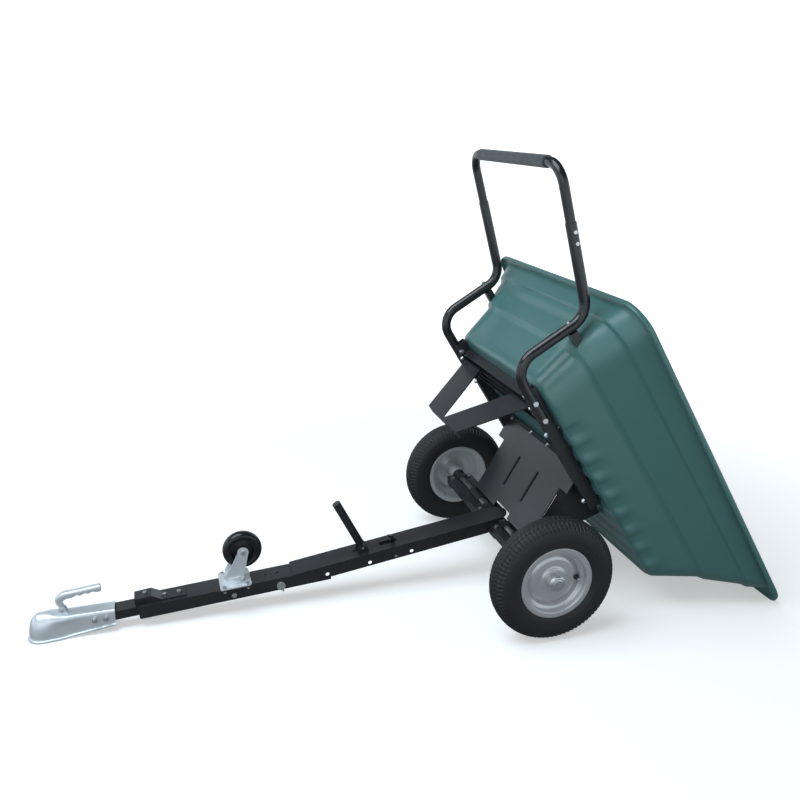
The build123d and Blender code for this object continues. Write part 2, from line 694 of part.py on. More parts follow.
# ---- caster -------------------------------------------------------------------------------------
def caster_base():
    """Plate welded on the bar that the caster is bolted to."""
    body = box(CASTER_AT - PLATE_L / 2, CASTER_AT + PLATE_L / 2, -PLATE_W / 2, PLATE_W / 2, 0, BASE_T)
    for place in plate_places():
        body -= bore(8, 20, place)
    return FRONT * body


def caster_plate():
    z = BASE_T
    body = box(CASTER_AT - PLATE_L / 2, CASTER_AT + PLATE_L / 2, -PLATE_W / 2, PLATE_W / 2, z, z + PLATE_T)
    body = fillet(body.edges().filter_by(Axis.Z), 8)
    ring = Pos(CASTER_AT, 0, z + PLATE_T) * extrude(Circle(RACE_R), RACE_H)
    body += ring
    for place in plate_places():
        body -= bore(8, 20, place)
    king = Pos(CASTER_AT, 0, z + PLATE_T + RACE_H) * extrude(Circle(KING_R), 16.5)
    return FRONT * (body + king)


def caster_fork():
    """Swivelling fork: a cupped crown over the race and two legs leaning to the wheel pin."""
    z0 = BASE_T + PLATE_T + RACE_H + GAP
    crown = Pos(0, 0, z0) * extrude(Circle(RACE_R + 1), 12)
    crown -= Pos(0, 0, z0 - 1) * extrude(Circle(KING_R + RUN_FIT), 40)
    wheel_x, wheel_z = CASTER_LEAD, CASTER_RISE
    y0 = CASTER_W / 2 + 4
    leg = [(-27, z0), (27, z0), (31, z0 + 12), (wheel_x + LEG_R, wheel_z), (wheel_x - LEG_R, wheel_z),
           (-27, z0 + 18)]
    plate = side_plate(leg, y0, y0 + 4) + rod(LEG_R, (wheel_x, y0, wheel_z), (wheel_x, y0 + 4, wheel_z))
    body = crown
    for shape in both(plate):
        body += shape
    bridge = box(-22, 22, -y0 - 4, y0 + 4, z0, z0 + 12)
    bridge -= Pos(0, 0, z0 - 1) * extrude(Circle(KING_R + RUN_FIT), 40)
    body += bridge
    body -= rod(5, (wheel_x, -60, wheel_z), (wheel_x, 60, wheel_z))
    return FRONT * (Pos(CASTER_AT, 0, 0) * body)


def caster_axle():
    y = CASTER_W / 2 + 8
    x, z = CASTER_AT + CASTER_LEAD, CASTER_RISE
    place = Pos(x, -y, z) * Rot(90, 0, 0)
    return FRONT * bolt(10, 2 * y, place)


def caster_wheel():
    """Rubber tread on a moulded wheel centre."""
    x, z = CASTER_AT + CASTER_LEAD, CASTER_RISE
    half = CASTER_W / 2
    r = CASTER_R
    tread = lathe([(44, -half), (r - 6, -half), (r, -half + 7), (r, half - 7), (r - 6, half), (44, half)])
    centre = lathe([(5 + RUN_FIT, -half - 3), (14, -half - 3), (16, -10), (36, -6), (38, -half + 1),
                    (44, -half + 1), (44, half - 1), (38, half - 1), (36, 6), (16, 10),
                    (14, half + 3), (5 + RUN_FIT, half + 3)])
    place = Pos(x, 0, z)
    return FRONT * (place * tread), FRONT * (place * centre)


# ---- tub ----------------------------------------------------------------------------------------
def wall_at(v):
    """Front, rear, front half width and rear half width of the walls at height v, without ledges."""
    for low, high in zip(WALLS, WALLS[1:]):
        if v <= high[0] or high is WALLS[-1]:
            share = (v - low[0]) / (high[0] - low[0])
            return [a + (b - a) * share for a, b in zip(low[1:], high[1:])]


def tapered(front, rear, front_half, rear_half, corners):
    """A flat outline, narrower at the front, with its own corner radius at each end."""
    shape = make_face(Polyline((front, -front_half), (rear, -rear_half), (rear, rear_half),
                               (front, front_half), close=True))
    shape = fillet(shape.vertices().sort_by(Axis.X)[:2], corners[0])
    return fillet(shape.vertices().sort_by(Axis.X)[-2:], corners[1])


def tub_section(v, inset=0.0, step=0.0):
    """Outline of the tub at height v; each ledge pushes it out by a step."""
    front, rear, front_half, rear_half = wall_at(v)
    out = step - inset
    return Pos(0, 0, v) * tapered(front - out, rear + step * 0.5 - inset, front_half + out, rear_half + out,
                                  [r - inset for r in WALL_CORNERS])


def lip_outline(inset):
    half = TUB_WIDTH / 2 - inset
    return tapered(TUB_FRONT + inset, RIM_REAR - inset, half, half, [r - inset for r in LIP_CORNERS])


def tub_bands(inset):
    """The three bands of the tub between floor, ledges and rim, as one solid."""
    levels = (TUB_FLOOR,) + LEDGES + (TUB_RIM,)
    body = None
    for i in range(3):
        step = LEDGE_STEP * i
        band = loft([tub_section(level + inset, inset, step) for level in levels[i:i + 2]])
        body = band if body is None else body + band
    return body


def tub_shell():
    """Moulded tub with two ledges round its walls and a rolled rim."""
    lip = Pos(0, 0, LIP_LOW) * extrude(lip_outline(0), LIP_DROP)
    under = Pos(0, 0, LIP_LOW - 1) * extrude(lip_outline(LIP_T), LIP_DROP - TUB_WALL + 1)
    body = (lip - under) + tub_bands(0) - tub_bands(TUB_WALL)
    for place in floor_places():
        body -= bore(8, 60, place)
    for place in standoff_places():
        body -= bore(8, 60, place)
    return TUB * body


def wall_u(v, y=0.0):
    """Outside of the front wall at height v, y away from the middle and so maybe round its corner."""
    front, rear, front_half, rear_half = wall_at(v)
    step = LEDGE_STEP * sum(1 for ledge in LEDGES if v > ledge)
    r = WALL_CORNERS[0]
    into = min(max(0.0, y - (front_half + step - r)), r)
    return front - step + r - sqrt(r * r - into * into)


def standoff_inside():
    """Inside of the front wall where the standoff bolts' nuts seat."""
    return wall_u(STANDOFF_V - BOLT_HALF, HANDLE_Y + BOLT_HALF) + 1.2 * TUB_WALL


def floor_places():
    """Bolts through the floor into the rails and the pedestal flange."""
    top = TUB_FLOOR + TUB_WALL
    rails = [Pos(u, s * RAIL_Y, top) for u in RAIL_BOLTS for s in (-1, 1)]
    flange = [Pos(PANEL_TOP_U - 18, y, top) for y in FLANGE_BOLTS]
    return rails + flange


def standoff_places():
    """Bolts through the front wall into the handle standoffs."""
    return [Pos(standoff_inside() + 8, s * HANDLE_Y, STANDOFF_V) * Rot(0, 90, 0) for s in (-1, 1)]


def rail():
    w, h = RAIL_SIZE
    y0, y1 = RAIL_Y - w / 2, RAIL_Y + w / 2
    top = TUB_FLOOR
    body = box(RAIL_FRONT, RAIL_REAR, y0, y1, top - h, top)
    body -= box(RAIL_FRONT - 1, RAIL_REAR + 1, y0 + 3, y1 - 3, top - h + 3, top - 3)
    for place in floor_places():
        body -= bore(8, h + TUB_WALL, place)
    for place in handle_places():
        body -= bore(10, 70, place)
    return TUB * body


def cross_member(u0, u1):
    """Channel between the rails, open below."""
    y = RAIL_Y - RAIL_SIZE[0] / 2
    top = TUB_FLOOR
    body = box(u0, u1, -y, y, top - MEMBER_H, top)
    body -= box(u0 + 3, u1 - 3, -y - 1, y + 1, top - MEMBER_H - 1, top - 3)
    return TUB * body


def v_plate():
    """V shaped front plate that comes down on the drawbar; its lower lip is the latch catch."""
    low = CHANNEL_TOP + CATCH_LIFT
    top = TUB_FLOOR - MEMBER_H
    inner, outer = VPLATE_TOP
    face = Polyline((VPLATE_HALF, low), (-VPLATE_HALF, low), (-outer + 9, top), (-inner, top),
                    (-6, low + 12), (6, low + 12), (inner, top), (outer - 9, top), close=True)
    plane = Plane(origin=(VPLATE_U, 0, 0), x_dir=(0, 1, 0), z_dir=(1, 0, 0))
    body = extrude(plane * make_face(face), amount=VPLATE_T)
    body += box(VPLATE_U, VPLATE_U + CATCH_DEPTH, -VPLATE_HALF, VPLATE_HALF, low, low + VPLATE_T)
    for s in (-1, 1):
        y0, y1 = sorted((s * (inner + 8), s * (RAIL_Y - RAIL_SIZE[0] / 2)))
        body += box(VPLATE_U, VPLATE_U + 18, y0, y1, top - VPLATE_T, top)
    return TUB * body


def pedestal_panel():
    """Slanted sheet from the axle sleeves up to the floor, with two pressed ribs and a flange."""
    rise = TUB_FLOOR - PANEL_T
    foot_u, foot_v = PANEL_FOOT
    slope = (PANEL_TOP_U - foot_u) / (rise - foot_v)
    t = PANEL_T
    lip_end = PANEL_TOP_U - PANEL_LIP
    section = [(foot_u, foot_v), (PANEL_TOP_U, rise), (lip_end, rise), (lip_end, rise + t),
               (PANEL_TOP_U + t * 0.8, rise + t), (foot_u + t * 1.1, foot_v)]
    body = side_plate(section, -PANEL_HALF, PANEL_HALF)
    for s in (-1, 1):
        y0, y1 = sorted((s * SLEEVE_Y[1], s * (PANEL_HALF + 1)))
        body -= box(-200, 60, y0, y1, 0, PANEL_NARROW)
    body -= box(-200, 60, -CHANNEL_W / 2 - 12, CHANNEL_W / 2 + 12, 0, PANEL_ARCH)
    for y in (-RIB_Y, RIB_Y):
        ends = [(foot_u + slope * rise_at - RIB_R / 2, y, foot_v + rise_at) for rise_at in RIB_SPAN]
        body += rod(RIB_R, ends[0], ends[1])
    for place in floor_places():
        body -= bore(8, 12, place)
    body -= rod(SLEEVE_R, (0, -PANEL_HALF, 0), (0, PANEL_HALF, 0))
    return TUB * body


def gusset():
    """Side plate of the pedestal, welded to the sleeve that turns on the axle."""
    y0, y1 = SLEEVE_Y
    sleeve = pipe(SLEEVE_R, SHAFT_R + RUN_FIT, (0, y0, 0), (0, y1, 0))
    rise = TUB_FLOOR
    outline = [(-4, 12), (4, 15.5), (19, 53), (64, rise), (PANEL_TOP_U + 6, rise), (-18, 40)]
    plate = side_plate(outline, y1, y1 + PANEL_T)
    plate -= rod(SHAFT_R + RUN_FIT, (0, y1 - 1, 0), (0, y1 + 10, 0))
    ring = pipe(SLEEVE_R, SHAFT_R + RUN_FIT, (0, y1, 0), (0, y1 + PANEL_T, 0))
    return TUB * (sleeve + plate + ring)


# ---- handle -------------------------------------------------------------------------------------
def handle_direction():
    a = radians(HANDLE_RISE)
    return -cos(a), sin(a)


def handle_point(u):
    """Height of the upper leg's centre line at u."""
    return HANDLE_KNEE + (HANDLE_FRONT - u) * tan(radians(HANDLE_RISE))


def handle_places():
    """Bolts through the lower end of the handle tube into the rail."""
    place = Rot(-90, 0, 0)
    return [Pos(u, HANDLE_Y + TUBE_R, HANDLE_LOW) * place for u in HANDLE_BOLTS]


def lower_handle():
    y = HANDLE_Y
    path = FilletPolyline((HANDLE_END, y, HANDLE_LOW), (HANDLE_FRONT, y, HANDLE_LOW),
                          (HANDLE_FRONT, y, HANDLE_KNEE),
                          (SLEEVE_END_U, y, handle_point(SLEEVE_END_U)), radius=HANDLE_BEND)
    section = Plane(origin=path @ 0, z_dir=path % 0) * (Circle(TUBE_R) - Circle(TUBE_R - TUBE_WALL))
    body = sweep(section, path=path)
    for place in handle_places():
        body -= bore(10, 60, place)
    body -= bore(8, 60, standoff_bolt())
    for back in CLAMP_SCREWS:
        body -= sleeve_hole(back)
    return TUB * body


def sleeve_hole(back):
    """Hole for a clamp screw, at a distance back from the mouth of the lower tube."""
    a = radians(HANDLE_RISE)
    u = SLEEVE_END_U + back * cos(a)
    v = handle_point(SLEEVE_END_U) - back * sin(a)
    return rod(3.2, (u, HANDLE_Y + 10, v), (u, HANDLE_Y + 30, v))


def standoff_bolt():
    return Pos(HANDLE_FRONT - TUBE_R, HANDLE_Y, STANDOFF_V) * Rot(0, -90, 0)


def standoff():
    """Spacer bracket between the front wall and the handle tube."""
    half = STANDOFF_HALF
    u0, u1 = HANDLE_FRONT + TUBE_R, standoff_inside() + 12
    body = box(u0, u1, HANDLE_Y - half, HANDLE_Y + half, STANDOFF_V - half, STANDOFF_V + half)
    body -= tub_bands(0)
    body -= rod(4.3, (u0 - 1, HANDLE_Y, STANDOFF_V), (u1 + 1, HANDLE_Y, STANDOFF_V))
    return TUB * body


def upper_handle():
    du, dv = handle_direction()
    start_u = SLEEVE_END_U - du * INSERT
    start = (start_u, handle_point(start_u))
    corner = (GRIP_U, handle_point(GRIP_U))
    y = HANDLE_Y
    path = FilletPolyline((start[0], -y, start[1]), (corner[0], -y, corner[1]), (corner[0], y, corner[1]),
                          (start[0], y, start[1]), radius=UPPER_BEND)
    r = TUBE_R - TUBE_WALL - SLIDE_FIT
    section = Plane(origin=path @ 0, z_dir=path % 0) * (Circle(r) - Circle(r - 2))
    return TUB * sweep(section, path=path)


def foam_grip():
    r = TUBE_R - TUBE_WALL - SLIDE_FIT
    v = handle_point(GRIP_U)
    return TUB * pipe(GRIP_R, r, (GRIP_U, -GRIP_HALF, v), (GRIP_U, GRIP_HALF, v))


def handle_bolts():
    """Bolts that fix both lower tubes: to the rails, through the standoffs and the clamp screws."""
    grip = HANDLE_Y + TUBE_R - RAIL_Y + RAIL_SIZE[0] / 2
    one = [bolt(10, grip, place) for place in handle_places()]
    one.append(bolt(8, standoff_inside() - HANDLE_FRONT + TUBE_R, standoff_bolt()))
    a = radians(HANDLE_RISE)
    for back in CLAMP_SCREWS:
        u = SLEEVE_END_U + back * cos(a)
        v = handle_point(SLEEVE_END_U) - back * sin(a)
        screw = rod(3.0, (u, HANDLE_Y + TUBE_R - TUBE_WALL + 0.3, v), (u, HANDLE_Y + TUBE_R + 1, v))
        screw += rod(5.5, (u, HANDLE_Y + TUBE_R, v), (u, HANDLE_Y + TUBE_R + 5, v))
        one.append(screw)
    shapes = []
    for shape in one:
        shapes += both(shape)
    return TUB * group(shapes)


def floor_bolts():
    rails, flange = floor_places()[:6], floor_places()[6:]
    shapes = [bolt(8, TUB_WALL + RAIL_SIZE[1], place) for place in rails]
    shapes += [bolt(8, TUB_WALL + PANEL_T, place) for place in flange]
    return TUB * group(shapes)


# ---- the cart -----------------------------------------------------------------------------------
def cart():
    nodes = {}
    nodes.update(wheel("left"))
    nodes.update(wheel("right"))
    nodes["axle_shaft"] = axle_shaft()
    nodes["axle_nuts"] = axle_nuts()
    nodes["axle_bars_left"] = axle_bars(-1)
    nodes["axle_bars_right"] = axle_bars(1)
    nodes["axle_straps"] = axle_straps()
    nodes["axle_blocks"] = axle_blocks()
    nodes["axle_bolts"] = axle_bolts()
    nodes["rear_channel"] = rear_channel()
    nodes["latch_ears"] = latch_ears()
    nodes["latch_pins"] = latch_pins()
    nodes["latch_spring"] = latch_spring()
    nodes["latch_pedal"] = latch_pedal()
    nodes["latch_link"] = latch_link()
    nodes["latch_hook"] = latch_hook()
    nodes["front_channel"] = front_channel()
    nodes["coupler_tube"] = coupler_tube()
    nodes["clamp_bracket"] = clamp_bracket()
    nodes["coupler_body"] = coupler_body()
    nodes["coupler_ears"] = group(lever_ears())
    nodes["coupler_lever"] = coupler_lever()
    nodes["coupler_jaw"] = coupler_jaw()
    nodes["drawbar_bolts"] = drawbar_bolts()
    nodes["drawbar_pin"] = drawbar_pin()
    nodes["caster_base"] = caster_base()
    nodes["caster_plate"] = caster_plate()
    nodes["caster_fork"] = caster_fork()
    nodes["caster_axle"] = caster_axle()
    nodes["caster_tread"], nodes["caster_centre"] = caster_wheel()
    nodes["tub_shell"] = tub_shell()
    nodes["rail_right"] = rail()
    nodes["rail_left"] = mirrored(nodes["rail_right"])
    nodes["front_cross_member"] = cross_member(*MEMBERS[0])
    nodes["rear_cross_member"] = cross_member(*MEMBERS[1])
    nodes["v_plate"] = v_plate()
    nodes["pedestal_panel"] = pedestal_panel()
    nodes["pedestal_side_right"] = gusset()
    nodes["pedestal_side_left"] = mirrored(nodes["pedestal_side_right"])
    nodes["lower_handle_right"] = lower_handle()
    nodes["lower_handle_left"] = mirrored(nodes["lower_handle_right"])
    nodes["standoff_right"] = standoff()
    nodes["standoff_left"] = mirrored(nodes["standoff_right"])
    nodes["handle_bolts"] = handle_bolts()
    nodes["floor_bolts"] = floor_bolts()
    nodes["upper_handle"] = upper_handle()
    nodes["foam_grip"] = foam_grip()
    return nodes


def placed(nodes):
    """Move the cart so that its origin is the bottom centre of its box."""
    size = Compound(children=[solid for shape in nodes.values() for solid in shape.solids()]).bounding_box()
    shift = Pos(-(size.min.X + size.max.X) / 2, -(size.min.Y + size.max.Y) / 2, -size.min.Z)
    return {name: shift * shape for name, shape in nodes.items()}, shift


NODES, SHIFT = placed(cart())
os.makedirs("parts", exist_ok=True)
for node_name, node_shape in NODES.items():
    export_step(node_shape, "parts/" + node_name + ".step")
print("origin shift", SHIFT.position, "tip angle", round(TIP, 2), "nodes", len(NODES))
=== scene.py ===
import json
from math import asin, atan2, cos, degrees, hypot, pi, radians, sin

import bmesh
import bpy
from mathutils import Matrix, Vector


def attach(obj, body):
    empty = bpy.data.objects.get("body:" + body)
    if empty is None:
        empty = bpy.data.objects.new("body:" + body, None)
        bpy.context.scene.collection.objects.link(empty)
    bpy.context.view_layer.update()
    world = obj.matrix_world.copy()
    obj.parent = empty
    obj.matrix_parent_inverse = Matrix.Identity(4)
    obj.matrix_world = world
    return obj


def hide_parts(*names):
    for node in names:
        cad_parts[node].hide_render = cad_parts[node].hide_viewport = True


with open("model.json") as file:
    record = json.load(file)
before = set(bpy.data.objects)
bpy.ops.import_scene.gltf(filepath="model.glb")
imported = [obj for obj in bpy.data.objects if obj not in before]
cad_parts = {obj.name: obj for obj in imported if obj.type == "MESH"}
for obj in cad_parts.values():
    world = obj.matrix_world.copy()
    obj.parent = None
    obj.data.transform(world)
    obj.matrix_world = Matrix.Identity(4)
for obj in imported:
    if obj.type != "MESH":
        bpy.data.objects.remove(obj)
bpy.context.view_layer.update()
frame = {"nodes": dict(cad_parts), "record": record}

# %% [markdown]
# # A tow behind tipping cart
# The cart is already modelled as plain steel and plastic pieces, and those give every place and size.
# This lesson gives each piece its finish, and rebuilds the ones whose real shape has more in it than the plain
# piece: the moulded tub, the tyres, the pressed rims, the foam grip, the cast coupler and its handle.
# Lengths below are written in millimetres, as a maker would, and turned into metres when a mesh is made.

# %% Sizes the pieces share
MM = 0.001
AXLE = Vector((0.378588, 0.0, 0.203))       # middle of the axle
TYRE_R = 203.0
TRACK_HALF = 440.0
TUB_FRONT, TUB_LENGTH, TUB_WIDTH = -642.0, 1237.0, 1042.0
TUB_FLOOR, TUB_RIM, LIP_DROP, TUB_WALL = 280.0, 610.0, 18.0, 5.0
LIP_LOW = TUB_RIM - LIP_DROP
RIM_REAR = TUB_FRONT + TUB_LENGTH
TIP = atan2(LIP_LOW, RIM_REAR) + asin(TYRE_R / hypot(RIM_REAR, LIP_LOW))


def from_axle(x, y, z):
    """A point measured from the middle of the axle."""
    return AXLE + Vector((x, y, z)) * MM


def in_tub(u, y, v):
    """A point of the tub: u along its floor, v up from the axle, square to the floor."""
    return from_axle(u * cos(TIP) + v * sin(TIP), y, -u * sin(TIP) + v * cos(TIP))


# %% [markdown]
# ## Meshes from rings
# Most shapes here are a row of closed rings joined by quads: a tyre is one profile turned round an axle, and the
# tub is one outline that grows from floor to rim. One helper that joins rings serves them all. The other choice,
# boolean cuts on blocks, leaves long thin triangles that shade badly on a smooth moulding.


def new_piece(name, points, faces, material, body, angle=32, replaced=()):
    """Make a mesh piece, shade it smooth but for its sharp edges, and let it ride on a body."""
    mesh = bpy.data.meshes.new(name)
    mesh.from_pydata([tuple(p) for p in points], [], faces)
    shaped = bmesh.new()
    shaped.from_mesh(mesh)
    bmesh.ops.remove_doubles(shaped, verts=shaped.verts, dist=0.00002)
    bmesh.ops.recalc_face_normals(shaped, faces=shaped.faces)
    shaped.to_mesh(mesh)
    shaped.free()
    mesh.shade_smooth()
    mesh.set_sharp_from_angle(angle=radians(angle))
    piece = bpy.data.objects.new(name, mesh)
    bpy.context.collection.objects.link(piece)
    mesh.materials.append(material)
    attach(piece, body)
    if replaced:
        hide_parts(*replaced)
    return piece


def joined_rings(rings, close=False):
    """Points and quads of a row of rings that all have the same number of points."""
    count = len(rings[0])
    points = [p for ring in rings for p in ring]
    rows = len(rings) if close else len(rings) - 1
    faces = []
    for row in range(rows):
        low, high = row * count, (row + 1) % len(rings) * count
        for i in range(count):
            j = (i + 1) % count
            faces.append((low + i, low + j, high + j, high + i))
    return points, faces


def eased(profile, radius, steps=3):
    """A closed profile with its corners cut to small arcs."""
    out = []
    for i, here in enumerate(profile):
        before, after = Vector(profile[i - 1]), Vector(profile[(i + 1) % len(profile)])
        here = Vector(here)
        reach = min(radius, (before - here).length * 0.45, (after - here).length * 0.45)
        a, b = here + (before - here).normalized() * reach, here + (after - here).normalized() * reach
        for k in range(steps + 1):
            t = k / steps
            out.append(tuple(a * (1 - t) ** 2 + here * 2 * t * (1 - t) + b * t ** 2))
    return out


def turned(profile, side, middle, steps=96, closed=True):
    """Turn (radius, width) points about the cart's crosswise axis; side is +1 or -1."""
    rings = []
    for i in range(steps):
        a = 2 * pi * i / steps
        rings.append([middle + Vector((r * cos(a), side * w, r * sin(a))) * MM for r, w in profile])
    points, faces = [p for ring in rings for p in ring], []
    count = len(profile)
    for i in range(steps):
        j = (i + 1) % steps
        for k in range(count if closed else count - 1):
            m = (k + 1) % count
            faces.append((i * count + k, i * count + m, j * count + m, j * count + k))
    return points, faces


def ramp(t, low, high):
    """0 below low, 1 above high, with a smooth turn between."""
    t = max(0.0, min(1.0, (t - low) / (high - low)))
    return t * t * (3 - 2 * t)


# %% [markdown]
# ## Shared effects
# Paint, plating and plastic differ in colour and gloss, but they all pick up the same things: a blotchy tone, a fine
# grain, wear on their edges and dust on top. Each effect is one node group with named sockets, so a material only
# has to say how much of it there is. The shader itself stays in each material.

# %% Node groups for tone, grain, edge wear and dust
def new_group(name, inputs, outputs):
    group = bpy.data.node_groups.new(name, "ShaderNodeTree")
    for label, kind, value in inputs:
        socket = group.interface.new_socket(name=label, in_out="INPUT", socket_type=kind)
        socket.default_value = value
    for label, kind in outputs:
        group.interface.new_socket(name=label, in_out="OUTPUT", socket_type=kind)
    return group, group.nodes.new("NodeGroupInput"), group.nodes.new("NodeGroupOutput")


def math_node(tree, kind, a, b=None, clamp=False):
    node = tree.nodes.new("ShaderNodeMath")
    node.operation = kind
    node.use_clamp = clamp
    for socket, value in zip(node.inputs, (a, b)):
        if value is None:
            continue
        if isinstance(value, (int, float)):
            socket.default_value = value
        else:
            tree.links.new(value, socket)
    return node.outputs[0]


def noise_node(tree, scale, detail=4.0, rough=0.55):
    where = tree.nodes.new("ShaderNodeTexCoord")
    noise = tree.nodes.new("ShaderNodeTexNoise")
    noise.inputs["Detail"].default_value = detail
    noise.inputs["Roughness"].default_value = rough
    tree.links.new(where.outputs["Object"], noise.inputs["Vector"])
    if isinstance(scale, (int, float)):
        noise.inputs["Scale"].default_value = scale
    else:
        tree.links.new(scale, noise.inputs["Scale"])
    return noise.outputs["Fac"]


def blotch_group():
    """Soft blotches and a fine grain, each as a mask."""
    tree, inside, out = new_group(
        "blotch_and_grain",
        [("Blotch Scale", "NodeSocketFloat", 6.0), ("Grain Scale", "NodeSocketFloat", 600.0)],
        [("Blotch", "NodeSocketFloat"), ("Grain", "NodeSocketFloat")])
    blotch = noise_node(tree, inside.outputs["Blotch Scale"])
    grain = noise_node(tree, inside.outputs["Grain Scale"], 2.0)
    tree.links.new(blotch, out.inputs["Blotch"])
    tree.links.new(grain, out.inputs["Grain"])
    return tree


def edge_group():
    """Where convex edges have been rubbed, broken up by noise."""
    tree, inside, out = new_group(
        "edge_wear", [("Amount", "NodeSocketFloat", 0.5), ("Break Up", "NodeSocketFloat", 60.0)],
        [("Mask", "NodeSocketFloat")])
    point = tree.nodes.new("ShaderNodeNewGeometry").outputs["Pointiness"]
    edge = math_node(tree, "MULTIPLY", math_node(tree, "SUBTRACT", point, 0.53), 14.0, True)
    patch = math_node(tree, "MULTIPLY", noise_node(tree, inside.outputs["Break Up"]), 1.6, True)
    worn = math_node(tree, "MULTIPLY", math_node(tree, "MULTIPLY", edge, patch), inside.outputs["Amount"], True)
    tree.links.new(worn, out.inputs["Mask"])
    return tree


def dust_group():
    """Dust that lies on faces that look up."""
    tree, inside, out = new_group(
        "dust", [("Amount", "NodeSocketFloat", 0.2), ("Patch Scale", "NodeSocketFloat", 9.0)],
        [("Mask", "NodeSocketFloat")])
    normal = tree.nodes.new("ShaderNodeSeparateXYZ")
    tree.links.new(tree.nodes.new("ShaderNodeNewGeometry").outputs["Normal"], normal.inputs[0])
    up = math_node(tree, "MAXIMUM", normal.outputs["Z"], 0.0)
    patch = math_node(tree, "POWER", noise_node(tree, inside.outputs["Patch Scale"], 6.0, 0.65), 1.5)
    lying = math_node(tree, "MULTIPLY", math_node(tree, "MULTIPLY", up, patch), inside.outputs["Amount"], True)
    tree.links.new(lying, out.inputs["Mask"])
    return tree


BLOTCH, EDGE, DUST = blotch_group(), edge_group(), dust_group()
print("node groups", [g.name for g in (BLOTCH, EDGE, DUST)])


# %% [markdown]
# ## Finishes
# One builder places the three groups round a Principled shader. A finish is then a short list of its own values:
# two tones that the blotches move between, what shows where an edge is rubbed, and how rough and how grainy it is.
# Values that are even all over, such as coat, sheen and specular, are typed on the shader's own sockets.

# %% A builder for finishes, and the cart's materials
for plain in list(bpy.data.materials):
    plain.name = "plain_" + plain.name


def placed_group(tree, group, **values):
    node = tree.nodes.new("ShaderNodeGroup")
    node.node_tree = group
    for label, value in values.items():
        node.inputs[label.replace("_", " ")].default_value = value
    return node


def mixed(tree, share, a, b):
    node = tree.nodes.new("ShaderNodeMix")
    node.data_type = "RGBA"
    tree.links.new(share, node.inputs[0])
    for socket, value in ((node.inputs[6], a), (node.inputs[7], b)):
        if isinstance(value, tuple):
            socket.default_value = (*value, 1.0)
        else:
            tree.links.new(value, socket)
    return node.outputs[2]


def finish(name, tone, other, rough, metal=0.0, worn=None, wear=0.0, dust=0.0, blotch=6.0, grain=600.0,
           bump=0.05, bump_mm=0.1, rough_range=0.12, **even):
    """A material from two tones, a worn tone, a base roughness and the shared groups."""
    made = bpy.data.materials.new(name)
    made.use_nodes = True
    tree = made.node_tree
    shader = tree.nodes["Principled BSDF"]
    spread = placed_group(tree, BLOTCH, Blotch_Scale=blotch, Grain_Scale=grain)
    colour = mixed(tree, spread.outputs["Blotch"], tone, other)
    if wear:
        edges = placed_group(tree, EDGE, Amount=wear)
        colour = mixed(tree, edges.outputs["Mask"], colour, worn)
    if dust:
        lying = placed_group(tree, DUST, Amount=dust)
        colour = mixed(tree, lying.outputs["Mask"], colour, (0.42, 0.40, 0.36))
    tree.links.new(colour, shader.inputs["Base Color"])
    shift = math_node(tree, "MULTIPLY", math_node(tree, "SUBTRACT", spread.outputs["Blotch"], 0.5), rough_range)
    tree.links.new(math_node(tree, "ADD", shift, rough, True), shader.inputs["Roughness"])
    shader.inputs["Metallic"].default_value = metal
    raised = tree.nodes.new("ShaderNodeBump")
    raised.inputs["Strength"].default_value = bump
    raised.inputs["Distance"].default_value = bump_mm * MM
    tree.links.new(spread.outputs["Grain"], raised.inputs["Height"])
    tree.links.new(raised.outputs["Normal"], shader.inputs["Normal"])
    for label, value in even.items():
        shader.inputs[label.replace("_", " ")].default_value = value
    return made


TUB_GREEN = finish("tub_green", (0.058, 0.160, 0.152), (0.070, 0.185, 0.178), 0.33, dust=0.01, blotch=4.0,
                   grain=900.0, bump=0.25, bump_mm=0.15, Specular_IOR_Level=0.6)
BLACK_FRAME = finish("black_frame", (0.006, 0.007, 0.009), (0.009, 0.010, 0.013), 0.30, worn=(0.09, 0.09, 0.10),
                     wear=0.2, dust=0.012, grain=1500.0, bump=0.20, bump_mm=0.08, Coat_Weight=0.15,
                     Coat_Roughness=0.35)
BLACK_HANDLE = finish("black_handle", (0.006, 0.006, 0.008), (0.009, 0.009, 0.011), 0.24, worn=(0.14, 0.14, 0.15),
                      wear=0.2, dust=0.006, grain=1500.0, bump=0.12, bump_mm=0.06, Coat_Weight=0.35,
                      Coat_Roughness=0.18)
ZINC = finish("zinc", (0.76, 0.83, 0.88), (0.90, 0.94, 0.97), 0.36, metal=0.5, worn=(0.85, 0.86, 0.88), wear=0.3,
              dust=0.03, blotch=38.0, grain=700.0, bump=0.15, bump_mm=0.1, rough_range=0.25)
BOLT_ZINC = finish("bolt_zinc", (0.66, 0.69, 0.73), (0.80, 0.82, 0.85), 0.30, metal=1.0, worn=(0.9, 0.9, 0.9),
                   wear=0.3, blotch=90.0, grain=900.0, bump=0.1)
RIM_SILVER = finish("rim_silver", (0.60, 0.61, 0.62), (0.72, 0.73, 0.74), 0.33, metal=0.60, dust=0.02, blotch=12.0,
                    grain=1400.0, bump=0.15, bump_mm=0.05, Coat_Weight=0.25, Coat_Roughness=0.2)
TYRE_RUBBER = finish("tyre_rubber", (0.011, 0.0115, 0.013), (0.019, 0.020, 0.022), 0.58, worn=(0.045, 0.045, 0.048),
                     wear=0.5, dust=0.02, blotch=14.0, grain=1200.0, bump=0.35, bump_mm=0.2)
CASTER_RUBBER = finish("caster_rubber", (0.010, 0.010, 0.012), (0.017, 0.017, 0.019), 0.24, dust=0.006, blotch=20.0,
                       grain=1200.0, bump=0.15)
FOAM = finish("foam", (0.010, 0.014, 0.020), (0.018, 0.024, 0.032), 0.85, blotch=24.0, grain=1900.0, bump=0.8,
              bump_mm=0.5, rough_range=0.05, Sheen_Weight=0.35, Sheen_Roughness=0.5)
